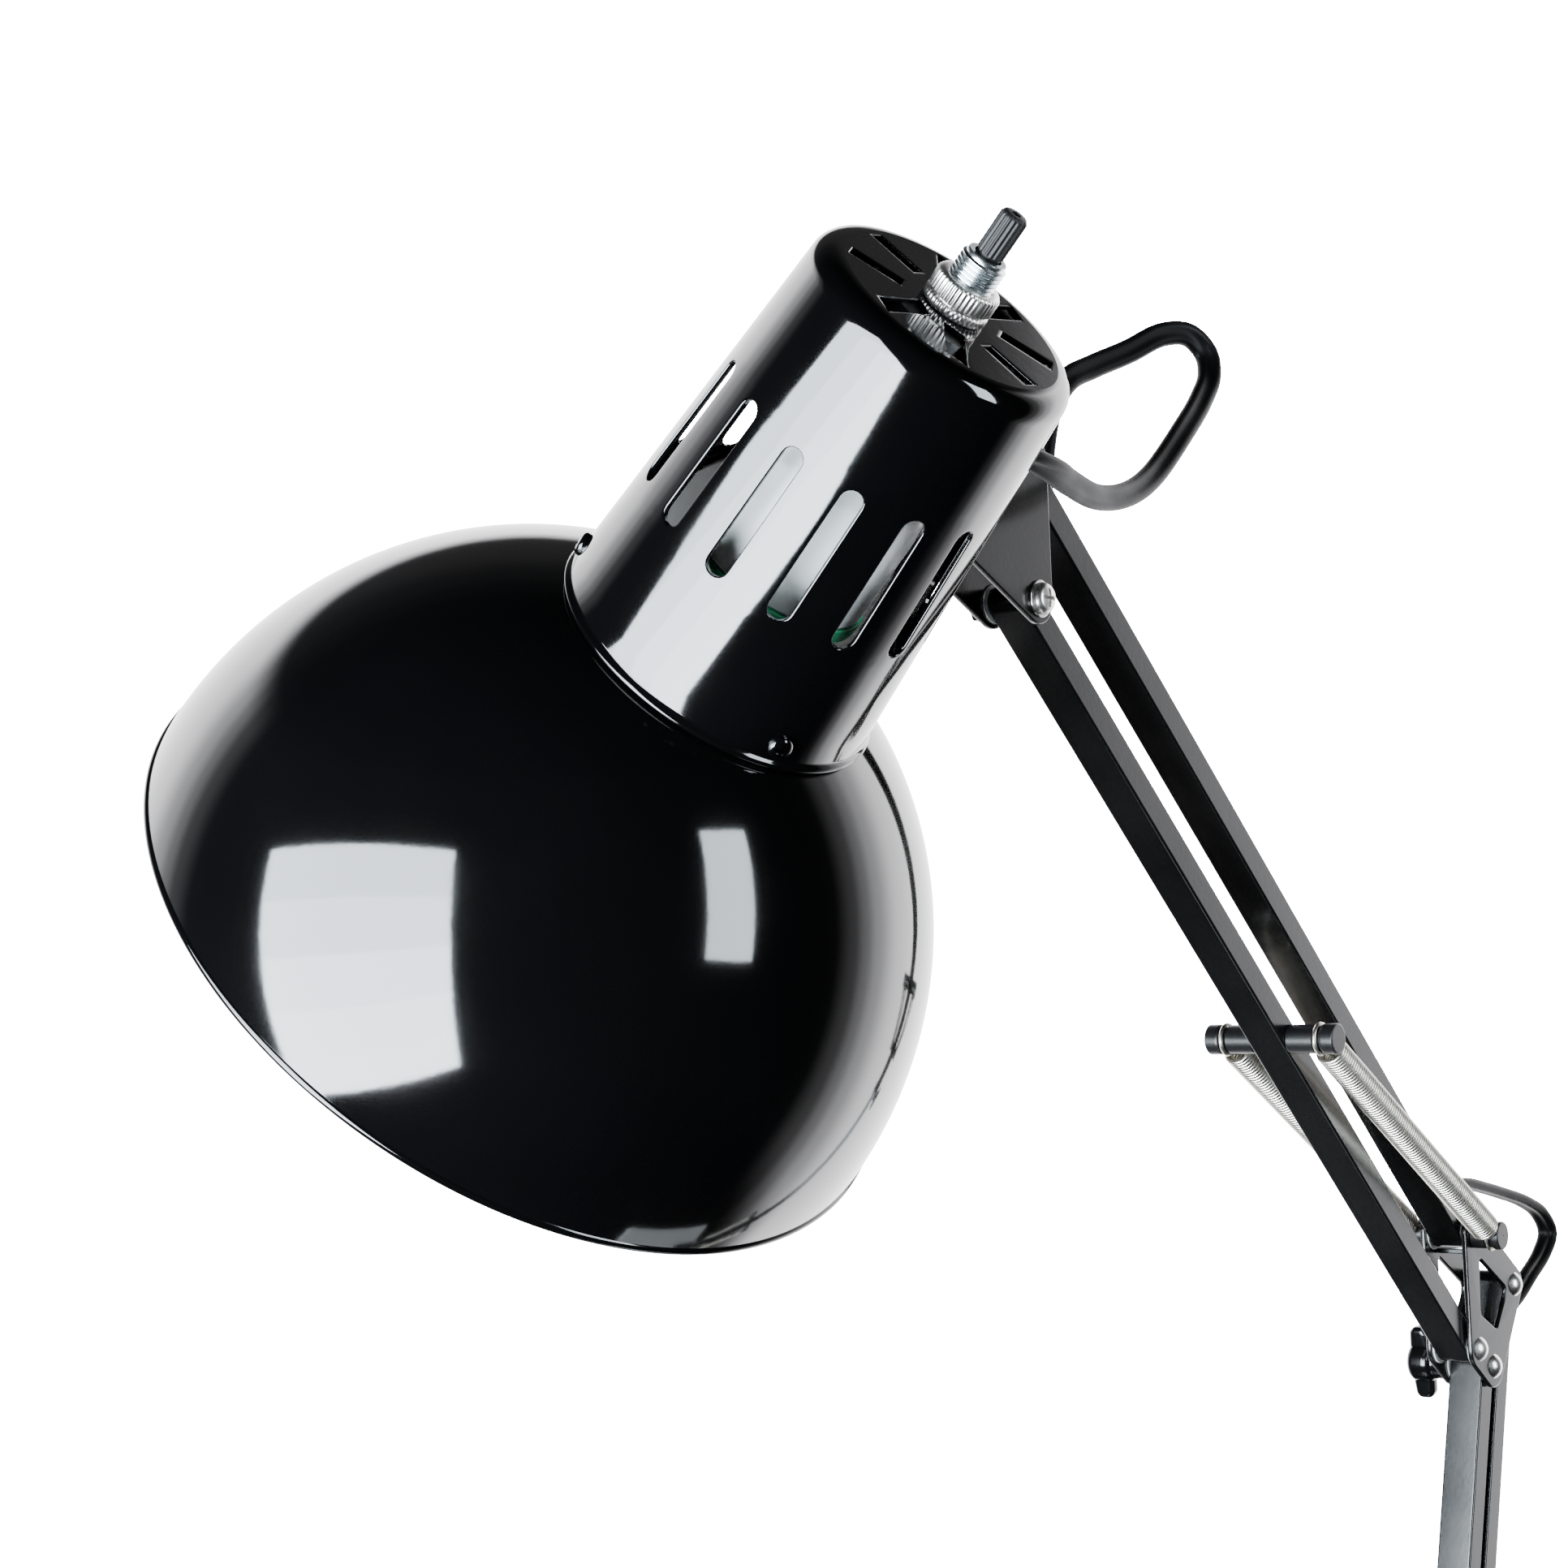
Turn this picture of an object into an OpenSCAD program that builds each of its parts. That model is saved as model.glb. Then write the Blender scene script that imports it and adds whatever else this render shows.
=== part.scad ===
// Spring-balanced swing arm desk lamp with a bell shade and a desk clamp.
// Frame: +Z up, arms fold in the XZ plane, head towards -X, millimetres.
// Origin: middle of the clamp's upper jaw where it rests on the desk top.

/* [Arms] */
// Upper arm, pivot to pivot
upper_len = 290; // [260:5:320]
// Upper arm's angle above level
upper_angle = 40; // [30:1:50]
// Lower arm, pivot to pivot
lower_len = 300; // [270:5:330]
// Lower arm's lean back from upright
lower_lean = 12; // [4:1:14]
// Width of each bar, across the arms
bar_w = 10; // [9.5:0.1:10]
// Depth of each bar, in the plane of the arms
bar_d = 7.5; // [7:0.1:7.5]
// Wall of the bar tube
bar_t = 1; // [0.8:0.1:1.2]

/* [Head] */
// Radius of the housing at its cap
cap_r = 30; // [28:0.5:31]
// Radius of the housing at the shade
neck_r = 36.5; // [35.5:0.5:37.5]
// Length of the housing
neck_len = 92; // [90:1:94]
// Radius of the shade's rim
shade_r = 92; // [88:1:96]
// Depth of the whole head, from cap to rim
head_len = 178; // [174:1:180]
// Thickness of the sheet steel in housing and shade
sheet_t = 1; // [0.8:0.1:1.2]
// Head's dip about the tilt bolt
head_dip = 9; // [0:1:12]
// Head's turn about its stud, from hanging straight down
head_turn = 47.5; // [0:0.5:60]

/* [Clamp] */
// Throat height of the clamp
throat = 62; // [56:1:66]
// Thickness of the desk top that it is closed on
desk_t = 25; // [18:1:36]

/* [Hidden] */

$fn = 48;

// Plates: inner face, thickness and the running gap to a bar
plate_in = 5.5;
plate_t = 1.5;
plate_out = plate_in + plate_t;

// Pivots, as [x, z] points in the plane of the arms
foot_step = [15, 22];
front_foot = [-7, 52];
rear_foot = front_foot + foot_step;
lower_dir = [sin(lower_lean), cos(lower_lean)];
lower_turn = 90 - lower_lean;
elbow_front = front_foot + lower_len * lower_dir;
elbow_rear = elbow_front + foot_step;
elbow_up = elbow_front + [-9, 5.5];
head_step = [-2, 32];
spring_pt = elbow_up + head_step;
upper_dir = [-cos(upper_angle), sin(upper_angle)];
upper_turn = 180 - upper_angle;
head_low = elbow_up + upper_len * upper_dir;
head_high = head_low + head_step;
tilt_pt = head_low + [-30, 16.5];
base_spring_pt = [17, 47];
lower_cross_at = 110;
upper_cross_at = 135;

// Pins and spring posts
pin_r = 2;
pin_gap = 0.05;
tilt_r = 2.5;
post_r = 3.75;
groove_r = 3.1;
lower_post_len = 15.5;
upper_post_len = 18.5;
spring_y_low = 12;
spring_y_high = 13.5;
spring_r = 4.2;
wire_r = 0.55;

// Head, along its own axis: z = 0 at the stud, +z to the cap, +x to the arm
stud_at = 61;
stud_r = 3;
head_reach = 53.5;
stud_drop = 5.5;
edge_r = 5;
ellipse_c = 180;
ellipse_h = 95;
slot_from = 30.5;
slot_to = 62;
slot_w = 5;
slot_pitch = 360 / 14;
slot_first = 90.5;
slot_count = 12;
vent_in = 9.8;
vent_out = 23.2;
rivet_at = 87;
grommet_at = 25;
grommet_turn = 25;

// Switch and bulb, from the cap downwards
bush_r = 5;
bush_up = 13;
shaft_r = 3;
shaft_up = 23;
nut_r = 7.1;
nut_h = 7;
socket_r = 16.5;
socket_end = 30;
shell_r = 13.4;
ballast_r = 20.5;
ballast_end = 66;
ring_end = 70;
tube_r = 4.6;
coil_r = 16.5;
coil_pitch = 13.5;
coil_turns = 3.5;

// Clamp and swivel
clamp_w = 30;
jaw_t = 5;
swivel_r = 6;
boss_top = 33;
screw_r = 5;
pad_t = 5;
back_x = 30;

// Flat twin cord
cord_w = 6;
cord_t = 3;
slot_len = 14;
lead_w = 5.6;
lead_t = 2.6;
top_slot = 274;
low_slot = 20;
rear_top_slot = 288;
rear_low_slot = 34;

// Cord from the housing's grommet to the upper rear bar, [x, y, z] from the head's low pivot
head_route = [[-60, -34.5, 22.5], [-54.5, -36, 21.5], [-49, -37.5, 20.5], [-40, -37, 19.5],
    [-29, -34, 19], [-9, -28.5, 19.5], [10, -24.5, 23.5], [26, -21.5, 30.5], [46, -18.5, 45],
    [60, -15.5, 55.5], [68.5, -13, 63.5], [70.5, -11, 69.5], [66, -9, 73.5], [57.5, -6.5, 72.5],
    [46, -3.5, 66.5], [34, -1, 61], [24, 0, 56], [16, 0, 47], [12.5, 0, 34], [12, 0, 23.5]];
// Cord from the upper rear bar round the elbow to the lower rear bar, from the elbow's upper pivot
elbow_route = [[-16, 0, 45], [-11, 0, 45.5], [-4, 0, 46], [6, 0, 46], [17, 0, 44.5], [32, 0, 42],
    [47, 0, 39], [58, 0, 35], [63.5, 0, 29], [58.5, 0, 23], [47.5, 0, 16.5], [40, 0, 12], [32, 0, 8.5],
    [23.5, 0, 6]];
// Cord from the lower rear bar down to the coil on the desk
mains_route = [[16, 0, 105.5], [20.5, 0, 98.5], [26, 0.5, 91], [33, 3, 82.5], [40, 8, 73], [46, 16, 62],
    [49, 26, 50], [48, 37, 38.5], [43, 48, 27], [35, 58, 16],
    [25, 67, 7.5], [18.5, 76.5, 3], [17.5, 87.5, 1.6],
    [20.5, 97, 1.6]];
coil_mid = [-22, 106];
coil_in = 21;
coil_out = 40;
coil_h = 12.6;
plug_mid = [-69, 142.9];

function unit(v) = v / norm(v);
function flat3(p, y) = [p[0], y, p[1]];
function lift(route, p) = [for (q = route) q + [p[0], 0, p[1]]];

// Ellipse of the shade: radius at a distance down the head's axis
function dome(s) = shade_r * sqrt(1 - pow((ellipse_c - s) / ellipse_h, 2));

// Direction of a route at one of its points
function heading(p, i) = unit(p[min(i + 1, len(p) - 1)] - p[max(i - 1, 0)]);

// Eight-sided flat ring round a route's point: width along side, thickness square to it
function ring(c, d, side, w, t) =
    let (u = unit(side - (side * d) * d), v = cross(d, u))
    [for (k = [0:7]) c + u * w / 2 * cos(45 * k + 22.5) * 1.08 + v * t / 2 * sin(45 * k + 22.5) * 1.08];

// Flat cord swept along a route, its width kept near the given side
module cord(p, w, t, side = [0, 1, 0], level = false) {
    last = len(p) - 1;
    pts = [for (i = [0:last]) let (d = heading(p, i))
        each ring(p[i], d, level ? cross([0, 0, 1], d) : side, w, t)];
    walls = [for (i = [0:last - 1], k = [0:7]) let (a = 8 * i + k, b = 8 * i + (k + 1) % 8)
        each [[a, a + 8, b], [b, a + 8, b + 8]]];
    caps = [[for (k = [0:7]) k], [for (k = [7:-1:0]) 8 * last + k]];
    polyhedron(pts, concat(walls, caps));
}

// Round pin across the arms, from y0 to y1
module pin(p, r, y0, y1) {
    translate([p[0], y0, p[1]]) rotate([-90, 0, 0]) cylinder(r = r, h = y1 - y0);
}

// Ring across the arms
module bush(p, r, bore, y0, y1) {
    difference() {
        pin(p, r, y0, y1);
        pin(p, bore, y0 - 1, y1 + 1);
    }
}

// Domed rivet head on the plate's outer face: side is -1 near, +1 far
module rivet_head(p, r, h, side) {
    ball = (r * r + h * h) / (2 * h);
    translate([p[0], side * plate_out, p[1]]) rotate([-90 * side, 0, 0]) intersection() {
        translate([0, 0, h - ball]) sphere(r = ball);
        cylinder(r = r, h = h);
    }
}

// Rivet through both plates
module rivet(p) {
    pin(p, pin_r, -plate_out, plate_out);
    for (side = [-1, 1]) rivet_head(p, 3.4, 1.9, side);
}

// Thin washers between a bar and the plates
module washers(points) {
    for (p = points, side = [-1, 1])
        bush(p, 4.6, pin_r + pin_gap, side * 5.25 - 0.2, side * 5.25 + 0.2);
}

// Flat plate that covers a list of [point, radius] lobes, at one side of the arms
module plate(lobes, y0) {
    translate([0, y0 + plate_t, 0]) rotate([90, 0, 0]) linear_extrude(plate_t)
        hull() for (l = lobes) translate(l[0]) circle(r = l[1], $fn = 32);
}

// Moves a bar's own frame to its pivot: +x along the bar, -z to its rear
module along(p, turn) {
    translate([p[0], 0, p[1]]) rotate([0, -turn, 0]) children();
}

// Square-cornered tube with round ends and a pin hole at each pivot
module bar(length, holes, slots) {
    difference() {
        union() {
            translate([0, -bar_w / 2, -bar_d / 2]) cube([length, bar_w, bar_d]);
            for (x = [0, length]) pin([x, 0], bar_d / 2, -bar_w / 2, bar_w / 2);
        }
        translate([-bar_d, -bar_w / 2 + bar_t, -bar_d / 2 + bar_t])
            cube([length + 2 * bar_d, bar_w - 2 * bar_t, bar_d - 2 * bar_t]);
        for (x = [0, length]) pin([x, 0], pin_r + pin_gap, -bar_w, bar_w);
        for (x = holes) pin([x, 0], 2.5, -bar_w, bar_w);
        for (x = slots)
            translate([x - slot_len / 2, -3.5, -bar_d]) cube([slot_len, 7, bar_d]);
    }
}

// Straight lead inside a bar
module arm_lead(x0, x1) {
    translate([x0, -lead_w / 2, -lead_t / 2]) cube([x1 - x0, lead_w, lead_t]);
}

// Cross pin that carries a pair of springs
module post(p, r, half) {
    pin(p, r, -half - 0.8, half + 0.8);
}

// Grooved bushes on a cross pin, outside the plates or the bar
module post_bushes(p, bore, from, half, groove) {
    for (side = [-1, 1]) difference() {
        union() {
            pin(p, post_r, min(side * from, side * half), max(side * from, side * half));
            pin(p, post_r + 0.5, side * (half - 0.6) - 0.6, side * (half - 0.6) + 0.6);
        }
        pin(p, bore, -half - 2, half + 2);
        bush(p, post_r + 2, groove_r, side * groove - 1, side * groove + 1);
    }
}

// Close-wound tension spring between two grooved posts
module spring(p0, y0, p1, y1) {
    a = flat3(p0, y0);
    b = flat3(p1, y1);
    d = unit(b - a);
    start = groove_r + 1.1;
    translate(a) rotate([0, acos(d[2]), atan2(d[1], d[0])]) difference() {
        translate([0, 0, start]) cylinder(r = spring_r, h = norm(b - a) - 2 * start);
        cylinder(r = spring_r - 2 * wire_r, h = norm(b - a));
    }
    for (q = [a, b]) translate(q) rotate([90, 0, 0])
        rotate_extrude() translate([groove_r + 0.15 + wire_r, 0]) circle(r = wire_r, $fn = 16);
}

// Head's own frame, seated on the tilt bolt, dipped and turned
module head() {
    translate([tilt_pt[0], 0, tilt_pt[1]]) rotate([0, -head_dip, 0])
        translate([-head_reach, 0, -stud_drop]) rotate([head_turn, 0, 0]) children();
}

// Tilt frame: +x along the stud to the arm, origin at the tilt bolt
module tilted() {
    translate([tilt_pt[0], 0, tilt_pt[1]]) rotate([0, -head_dip, 0]) children();
}

// Cylinder along x, in the tilt frame, on the stud's line
module stud_rod(r, x0, x1) {
    translate([x0, 0, -stud_drop]) rotate([0, 90, 0]) cylinder(r = r, h = x1 - x0);
}

// Solid of revolution about the head's axis from [radius, distance below the cap] points
module spun(points) {
    rotate_extrude($fn = 96) polygon([for (p = points) [p[0], stud_at - p[1]]]);
}

// Tapered outline of the housing, grown by g
function housing_r(s) = cap_r + (neck_r - cap_r) * (s - edge_r) / (neck_len - edge_r);
module housing_solid(g) {
    spun(concat([[0, -g]], [for (a = [90:-15:0])
        [cap_r - edge_r + (edge_r + g) * cos(a), edge_r - (edge_r + g) * sin(a)]],
        [[neck_r + g, neck_len], [0, neck_len]]));
}

// Radial cut or rod in the housing: turn is measured from the arm's side
module radial(turn, s, r, x0, x1) {
    rotate([0, 0, -turn]) translate([x0, 0, stud_at - s]) rotate([0, 90, 0]) cylinder(r = r, h = x1 - x0);
}

// Cooling vent in the cap, a slanted-ended slot
module vent(turn, w) {
    rotate([0, 0, turn]) translate([0, 0, stud_at - 4]) linear_extrude(8)
        polygon([[vent_in, -w / 2], [vent_out + 0.6, -w / 2], [vent_out, w / 2], [vent_in - 0.8, w / 2]]);
}

// Steel C-clamp with its swivel socket
module clamp_frame() {
    half = clamp_w / 2;
    foot = -throat - 8;
    color("#1b1b1d") difference() {
        union() {
            translate([0, half, 0]) rotate([90, 0, 0]) linear_extrude(clamp_w)
                polygon([[-22, 0], [-22, jaw_t - 1], [-20, jaw_t],
                    [back_x + 3, jaw_t], [back_x + 6, jaw_t - 3],
                    [back_x + 6, foot + 4], [back_x + 2, foot], [-14, foot],
                    [-14, -throat], [back_x, -throat],
                    [back_x, 0]]);
            cylinder(r = 11, h = boss_top);
            translate([0, 0, foot - 5]) cylinder(r = 10, h = 13);
        }
        translate([0, 0, jaw_t + 3]) cylinder(r = swivel_r + pin_gap, h = boss_top);
        translate([0, 0, foot - 6]) cylinder(r = screw_r + pin_gap, h = 20);
    }
}

// Pressure pad under the desk top
module clamp_pad() {
    color("#2a2a2c") difference() {
        translate([0, 0, -desk_t - pad_t]) union() {
            cylinder(r = 8.5, h = 2.5);
            translate([0, 0, 2]) cylinder(r = 14, h = 3);
        }
        translate([0, 0, -desk_t - pad_t - 1]) cylinder(r = 3.55, h = 4.3);
    }
}

// Clamp screw with the neck that carries the pad
module clamp_screw() {
    color("silver") difference() {
        union() {
            translate([0, 0, -throat - 52]) cylinder(r = screw_r, h = 52 + throat - desk_t - pad_t - 0.3);
            translate([0, 0, -throat - 52]) cylinder(r = 7, h = 14);
            translate([0, 0, -desk_t - pad_t - 0.5]) cylinder(r = 3.5, h = 3.5);
        }
        translate([-10, 0, -throat - 45]) rotate([0, 90, 0]) cylinder(r = 2.5, h = 20);
    }
}

// Sliding bar that turns the clamp screw
module clamp_tommy_bar() {
    color("silver") translate([-30, 0, -throat - 45]) rotate([0, 90, 0]) {
        cylinder(r = 2.5, h = 60);
        for (z = [0, 57]) translate([0, 0, z]) cylinder(r = 3.6, h = 3);
    }
}

// Swivelling foot bracket with its stud
module base_bracket() {
    web_z = boss_top + 0.3;
    lobes = [[front_foot, 6.5], [rear_foot, 6.5], [base_spring_pt, 6], [[-11, web_z + 3], 3],
        [[13, web_z + 3], 3]];
    color("#151517") difference() {
        union() {
            for (y = [-plate_out, plate_in]) plate(lobes, y);
            translate([-13, -plate_out, web_z]) cube([28, 2 * plate_out, 3]);
            translate([0, 0, jaw_t + 4]) cylinder(r = swivel_r, h = web_z - jaw_t - 3);
        }
        for (p = [front_foot, rear_foot, base_spring_pt]) pin(p, pin_r, -10, 10);
    }
}
module base_rivets() { color("gainsboro") { rivet(front_foot); rivet(rear_foot); } }
module base_washers() { color("white") washers([front_foot, rear_foot]); }
module base_spring_post() { color("gray") post(base_spring_pt, pin_r, lower_post_len); }
module base_spring_bushes() {
    color("#121212") post_bushes(base_spring_pt, pin_r, plate_out, lower_post_len, spring_y_low);
}

// Lower arm
module lower_front_bar() {
    color("#101012") along(front_foot, lower_turn) bar(lower_len, [lower_cross_at], []);
}
module lower_rear_bar() {
    color("#101012") along(rear_foot, lower_turn) bar(lower_len, [], [rear_low_slot, rear_top_slot]);
}
lower_cross_pt = front_foot + lower_cross_at * lower_dir;
module lower_crossbar() { color("gray") post(lower_cross_pt, 2.5, upper_post_len); }
module lower_crossbar_bushes() {
    color("#121212") post_bushes(lower_cross_pt, 2.5, bar_w / 2, upper_post_len, spring_y_high);
}
module lower_springs() {
    color("silver") for (side = [-1, 1])
        spring(base_spring_pt, side * spring_y_low, lower_cross_pt, side * spring_y_high);
}
module lower_lead() { color("#151515") along(rear_foot, lower_turn) arm_lead(rear_low_slot, rear_top_slot); }

// Elbow: two cut-out plates, a spacer and the pins
elbow_lobes = [[elbow_up, 5.5], [elbow_front, 6], [elbow_rear, 5], [elbow_up + [-4, 27], 3],
    [elbow_up + [13, 25.5], 3], [spring_pt, 5.8]];
module elbow_plate(y0) {
    color("#151517") difference() {
        plate(elbow_lobes, y0);
        translate([elbow_up[0], y0 + 2, elbow_up[1]]) rotate([90, 0, 0]) linear_extrude(3)
            polygon([[0.8, 25.5], [17.8, 16.2], [17.2, 13.2], [11.5, 5.2], [10.5, 5], [0.8, 9.6]]);
        for (p = [elbow_up, elbow_front, elbow_rear, spring_pt]) pin(p, pin_r, y0 - 1, y0 + 3);
    }
}
module elbow_spacer() {
    color("#151517") translate([elbow_up[0] + 1, -plate_in, elbow_up[1] + 26.2])
        cube([12, 2 * plate_in, 1.4]);
}
module elbow_rivets() { color("gainsboro") { rivet(elbow_up); rivet(elbow_rear); } }
module elbow_washers() { color("white") washers([elbow_up, elbow_front, elbow_rear, spring_pt]); }
module elbow_bolt() {
    color("gainsboro") {
        pin(elbow_front, pin_r, -plate_out, 16.2);
        rivet_head(elbow_front, 3.4, 1.9, -1);
    }
}
knob_turn = -12;
module wing_knob(p, y0) {
    difference() {
        union() {
            pin(p, 4.6, y0, y0 + 5);
            pin(p, 5.6, y0 + 4, y0 + 11);
            for (s = [-1, 1]) translate([p[0], y0 + 4, p[1]]) rotate([0, knob_turn, 0])
                translate([-2.2, 0, 0]) rotate([0, 90, 0]) linear_extrude(4.4)
                    polygon([[0, 0], [4 * s, 7], [9.4 * s, 7], [10.4 * s, 6], [10.4 * s, 2],
                        [9.4 * s, 1], [4 * s, 0]]);
        }
        pin(p, pin_r + pin_gap, y0 - 1, y0 + 9);
    }
}
module elbow_wing_knob() { color("#161616") wing_knob(elbow_front, plate_out + 0.3); }
module elbow_spring_post() { color("gray") post(spring_pt, pin_r, lower_post_len); }
module elbow_spring_bushes() {
    color("#121212") post_bushes(spring_pt, pin_r, plate_out, lower_post_len, spring_y_low);
}

// Upper arm
module upper_front_bar() {
    color("#101012") along(elbow_up, upper_turn) bar(upper_len, [upper_cross_at], []);
}
module upper_rear_bar() {
    color("#101012") along(spring_pt, upper_turn) bar(upper_len, [], [low_slot, top_slot]);
}
upper_cross_pt = elbow_up + upper_cross_at * upper_dir;
module upper_crossbar() { color("gray") post(upper_cross_pt, 2.5, upper_post_len); }
module upper_crossbar_bushes() {
    color("#121212") post_bushes(upper_cross_pt, 2.5, bar_w / 2, upper_post_len, spring_y_high);
}
module upper_springs() {
    color("silver") for (side = [-1, 1])
        spring(spring_pt, side * spring_y_low, upper_cross_pt, side * spring_y_high);
}
module upper_lead() { color("#151515") along(spring_pt, upper_turn) arm_lead(low_slot, top_slot); }

// Head bracket
module head_plate(y0) {
    color("#151517") difference() {
        plate([[head_low, 5.8], [head_high, 6], [tilt_pt, 8.5]], y0);
        for (p = [head_low, head_high]) pin(p, pin_r, y0 - 1, y0 + 3);
        pin(tilt_pt, tilt_r, y0 - 1, y0 + 3);
    }
}
module head_pivot_screw() {
    color("gainsboro") {
        pin(head_low, pin_r, -plate_out, plate_out + 3.5);
        bush(head_low, 4.6, pin_r, -plate_out - 0.6, -plate_out);
        translate([0, -0.6, 0]) rivet_head(head_low, 3.6, 2.2, -1);
        translate([head_low[0], plate_out, head_low[1]]) rotate([-90, 0, 0]) difference() {
            cylinder(r = 4, h = 3, $fn = 6);
            translate([0, 0, -1]) cylinder(r = pin_r, h = 5);
        }
    }
}
module head_rear_rivet() { color("gainsboro") rivet(head_high); }
module head_washers() { color("white") washers([head_low, head_high]); }

// Tilt block between the plates, bored for the swivel stud
module tilt_knuckle() {
    half = plate_in - 0.3;
    color("#202022") tilted() difference() {
        union() {
            pin([0, 0], 6.5, -half, half);
            translate([-14, -half, -12.5]) cube([14, 2 * half, 19]);
        }
        translate([-9.6, -half - 1, -14]) cube([5.4, 2 * half + 2, 13.8]);
        translate([-4.3, -half - 1, -14]) cube([5, 2 * half + 2, 7.5]);
        pin([0, 0], tilt_r + pin_gap, -10, 10);
        stud_rod(stud_r + pin_gap, -20, -5);
    }
}
module tilt_bolt() {
    color("gainsboro") {
        pin(tilt_pt, tilt_r, -plate_out, 19);
        rivet_head(tilt_pt, 4.5, 2.4, -1);
    }
}
module tilt_wing_nut() {
    color("gainsboro") difference() {
        union() {
            pin(tilt_pt, 5, plate_out + 0.3, plate_out + 6.3);
            for (s = [-1, 1]) translate([tilt_pt[0] - 1.2, plate_out + 1.5, tilt_pt[1]]) rotate([0, 90, 0])
                linear_extrude(2.4)
                    polygon([[0, 0], [5 * s, 4], [11 * s, 10], [14 * s, 9], [13 * s, 4], [6 * s, 0]]);
        }
        pin(tilt_pt, tilt_r + pin_gap, 0, 30);
    }
}

// Stud, saddle and nut that carry the head
module swivel_stud() {
    color("silver") tilted() {
        stud_rod(stud_r, -28.8, -7);
        stud_rod(4.8, -9.3, -5);
    }
}
module swivel_saddle() {
    color("#202022") difference() {
        tilted() difference() {
            stud_rod(8, -22, -14.3);
            stud_rod(stud_r, -23, -13);
        }
        head() housing_solid(0.02);
    }
}
module stud_nut() {
    color("silver") tilted() difference() {
        stud_rod(6, -26.5, -22.5);
        stud_rod(stud_r, -30, -20);
    }
}

// Drawn steel housing with slots and a vented cap
module neck_housing() {
    color("#0c0c0e") head() difference() {
        union() {
            housing_solid(0);
            translate([0, 0, stud_at - neck_len]) cylinder(r = neck_r + 0.9, h = 1.4);
        }
        difference() {
            housing_solid(-sheet_t);
            translate([0, 0, stud_at - sheet_t]) cylinder(r = 40, h = 10);
        }
        translate([0, 0, stud_at - neck_len - 1]) cylinder(r = neck_r - sheet_t, h = 1.5);
        translate([0, 0, stud_at - 3]) cylinder(r = bush_r, h = 6);
        radial(0, stud_at, stud_r, 20, 45);
        radial(grommet_turn, grommet_at, 4.3, 20, 45);
        for (k = [0:2]) radial(115 + 120 * k, rivet_at, 1.5, 30, 45);
        for (k = [0:slot_count - 1]) rotate([0, 0, -slot_first - slot_pitch * (k < 8 ? k - 2 : k - 1.375)]) {
            translate([20, -slot_w / 2, stud_at - slot_to + slot_w / 2])
                cube([30, slot_w, slot_to - slot_from - slot_w]);
            for (s = [slot_from + slot_w / 2, slot_to - slot_w / 2])
                translate([20, 0, stud_at - s]) rotate([0, 90, 0]) cylinder(r = slot_w / 2, h = 30);
        }
        for (k = [0:7]) vent(45 * k, k % 4 < 2 ? 4.6 : 3.4);
    }
}

// Bell shade with its collar and rolled rim
module shade() {
    color("#0c0c0e") head() {
        spun(concat([[31, 92.4]], [for (s = [94:4:head_len]) [dome(s), s]],
            [for (s = [head_len:-4:94]) [dome(s) - sheet_t, s + 0.3]], [[31, 93.4]]));
        spun([[31, 92.4], [31, 84], [34.5, 84], [34.5, 85], [32, 85], [32, 93], [31, 93]]);
        translate([0, 0, stud_at - head_len]) rotate_extrude($fn = 96)
            translate([dome(head_len) - 0.5, 0]) circle(r = 1.1, $fn = 16);
    }
}
module shade_rivets() {
    color("gainsboro") head() for (k = [0:2]) radial(115 + 120 * k, rivet_at, 1.5, 34.6, neck_r + 0.8);
}

// Lamp socket with its switch, below the cap
module lamp_socket() {
    color("#161616") head() spun([[shell_r + 0.6, socket_end],
        [socket_r, socket_end], [socket_r, 4], [14, 1.2],
        [bush_r, 1.2], [bush_r, 11], [shell_r + 0.6, 11]]);
}
module socket_shell() {
    color("goldenrod") head() spun([[shell_r, 29.5], [shell_r + 0.5, 29.5], [shell_r + 0.5, 11.5], [6, 11.5],
        [6, 12], [shell_r, 12]]);
}
module bulb_base() {
    color("silver") head() spun([[0, 13], [4.5, 13], [6, 15.5], [12.6, 17.5], [13, 19], [13, 37], [0, 37]]);
}
module bulb_ballast() {
    color("white") head() spun([[13.1, 32], [15, 32], [ballast_r - 2.9, 35.5],
        [ballast_r - 0.5, 40], [ballast_r, 46],
        [ballast_r, ballast_end], [0, ballast_end], [0, 37.1], [13.1, 37.1]]);
}
module bulb_ring() {
    color("green") head() spun([[0, ballast_end + 0.05], [ballast_r + 0.6, ballast_end + 0.05],
        [ballast_r + 0.6, ring_end - 1], [ballast_r - 0.4, ring_end], [0, ring_end]]);
}
module bulb_tube() {
    steps = 63;
    route = [for (i = [0:steps]) let (t = i / steps, turn = 360 * coil_turns * t)
        [coil_r * cos(turn), coil_r * sin(turn),
            stud_at - ring_end - tube_r - 0.2 - coil_pitch * coil_turns * t]];
    color("ghostwhite") head() cord(route, 2 * tube_r, 2 * tube_r, [0, 0, 1]);
}
module switch_bushing() {
    color("lightsteelblue") head() spun([[shaft_r + pin_gap, 10.9],
        [bush_r - 0.02, 10.9], [bush_r - 0.02, -bush_up + 0.6],
        [bush_r - 0.6, -bush_up], [shaft_r + pin_gap, -bush_up]]);
}
module ring_nut() {
    color("silver") head() spun([[bush_r, -0.02], [nut_r - 0.4, -0.02], [nut_r, -0.5], [nut_r, -nut_h + 0.6],
        [nut_r - 0.6, -nut_h], [bush_r, -nut_h]]);
}
module switch_shaft() {
    color("#1a1a1c") head() spun([[0, 10], [shaft_r, 10],
        [shaft_r, -shaft_up + 0.6], [shaft_r - 0.6, -shaft_up],
        [0, -shaft_up]]);
}

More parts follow.
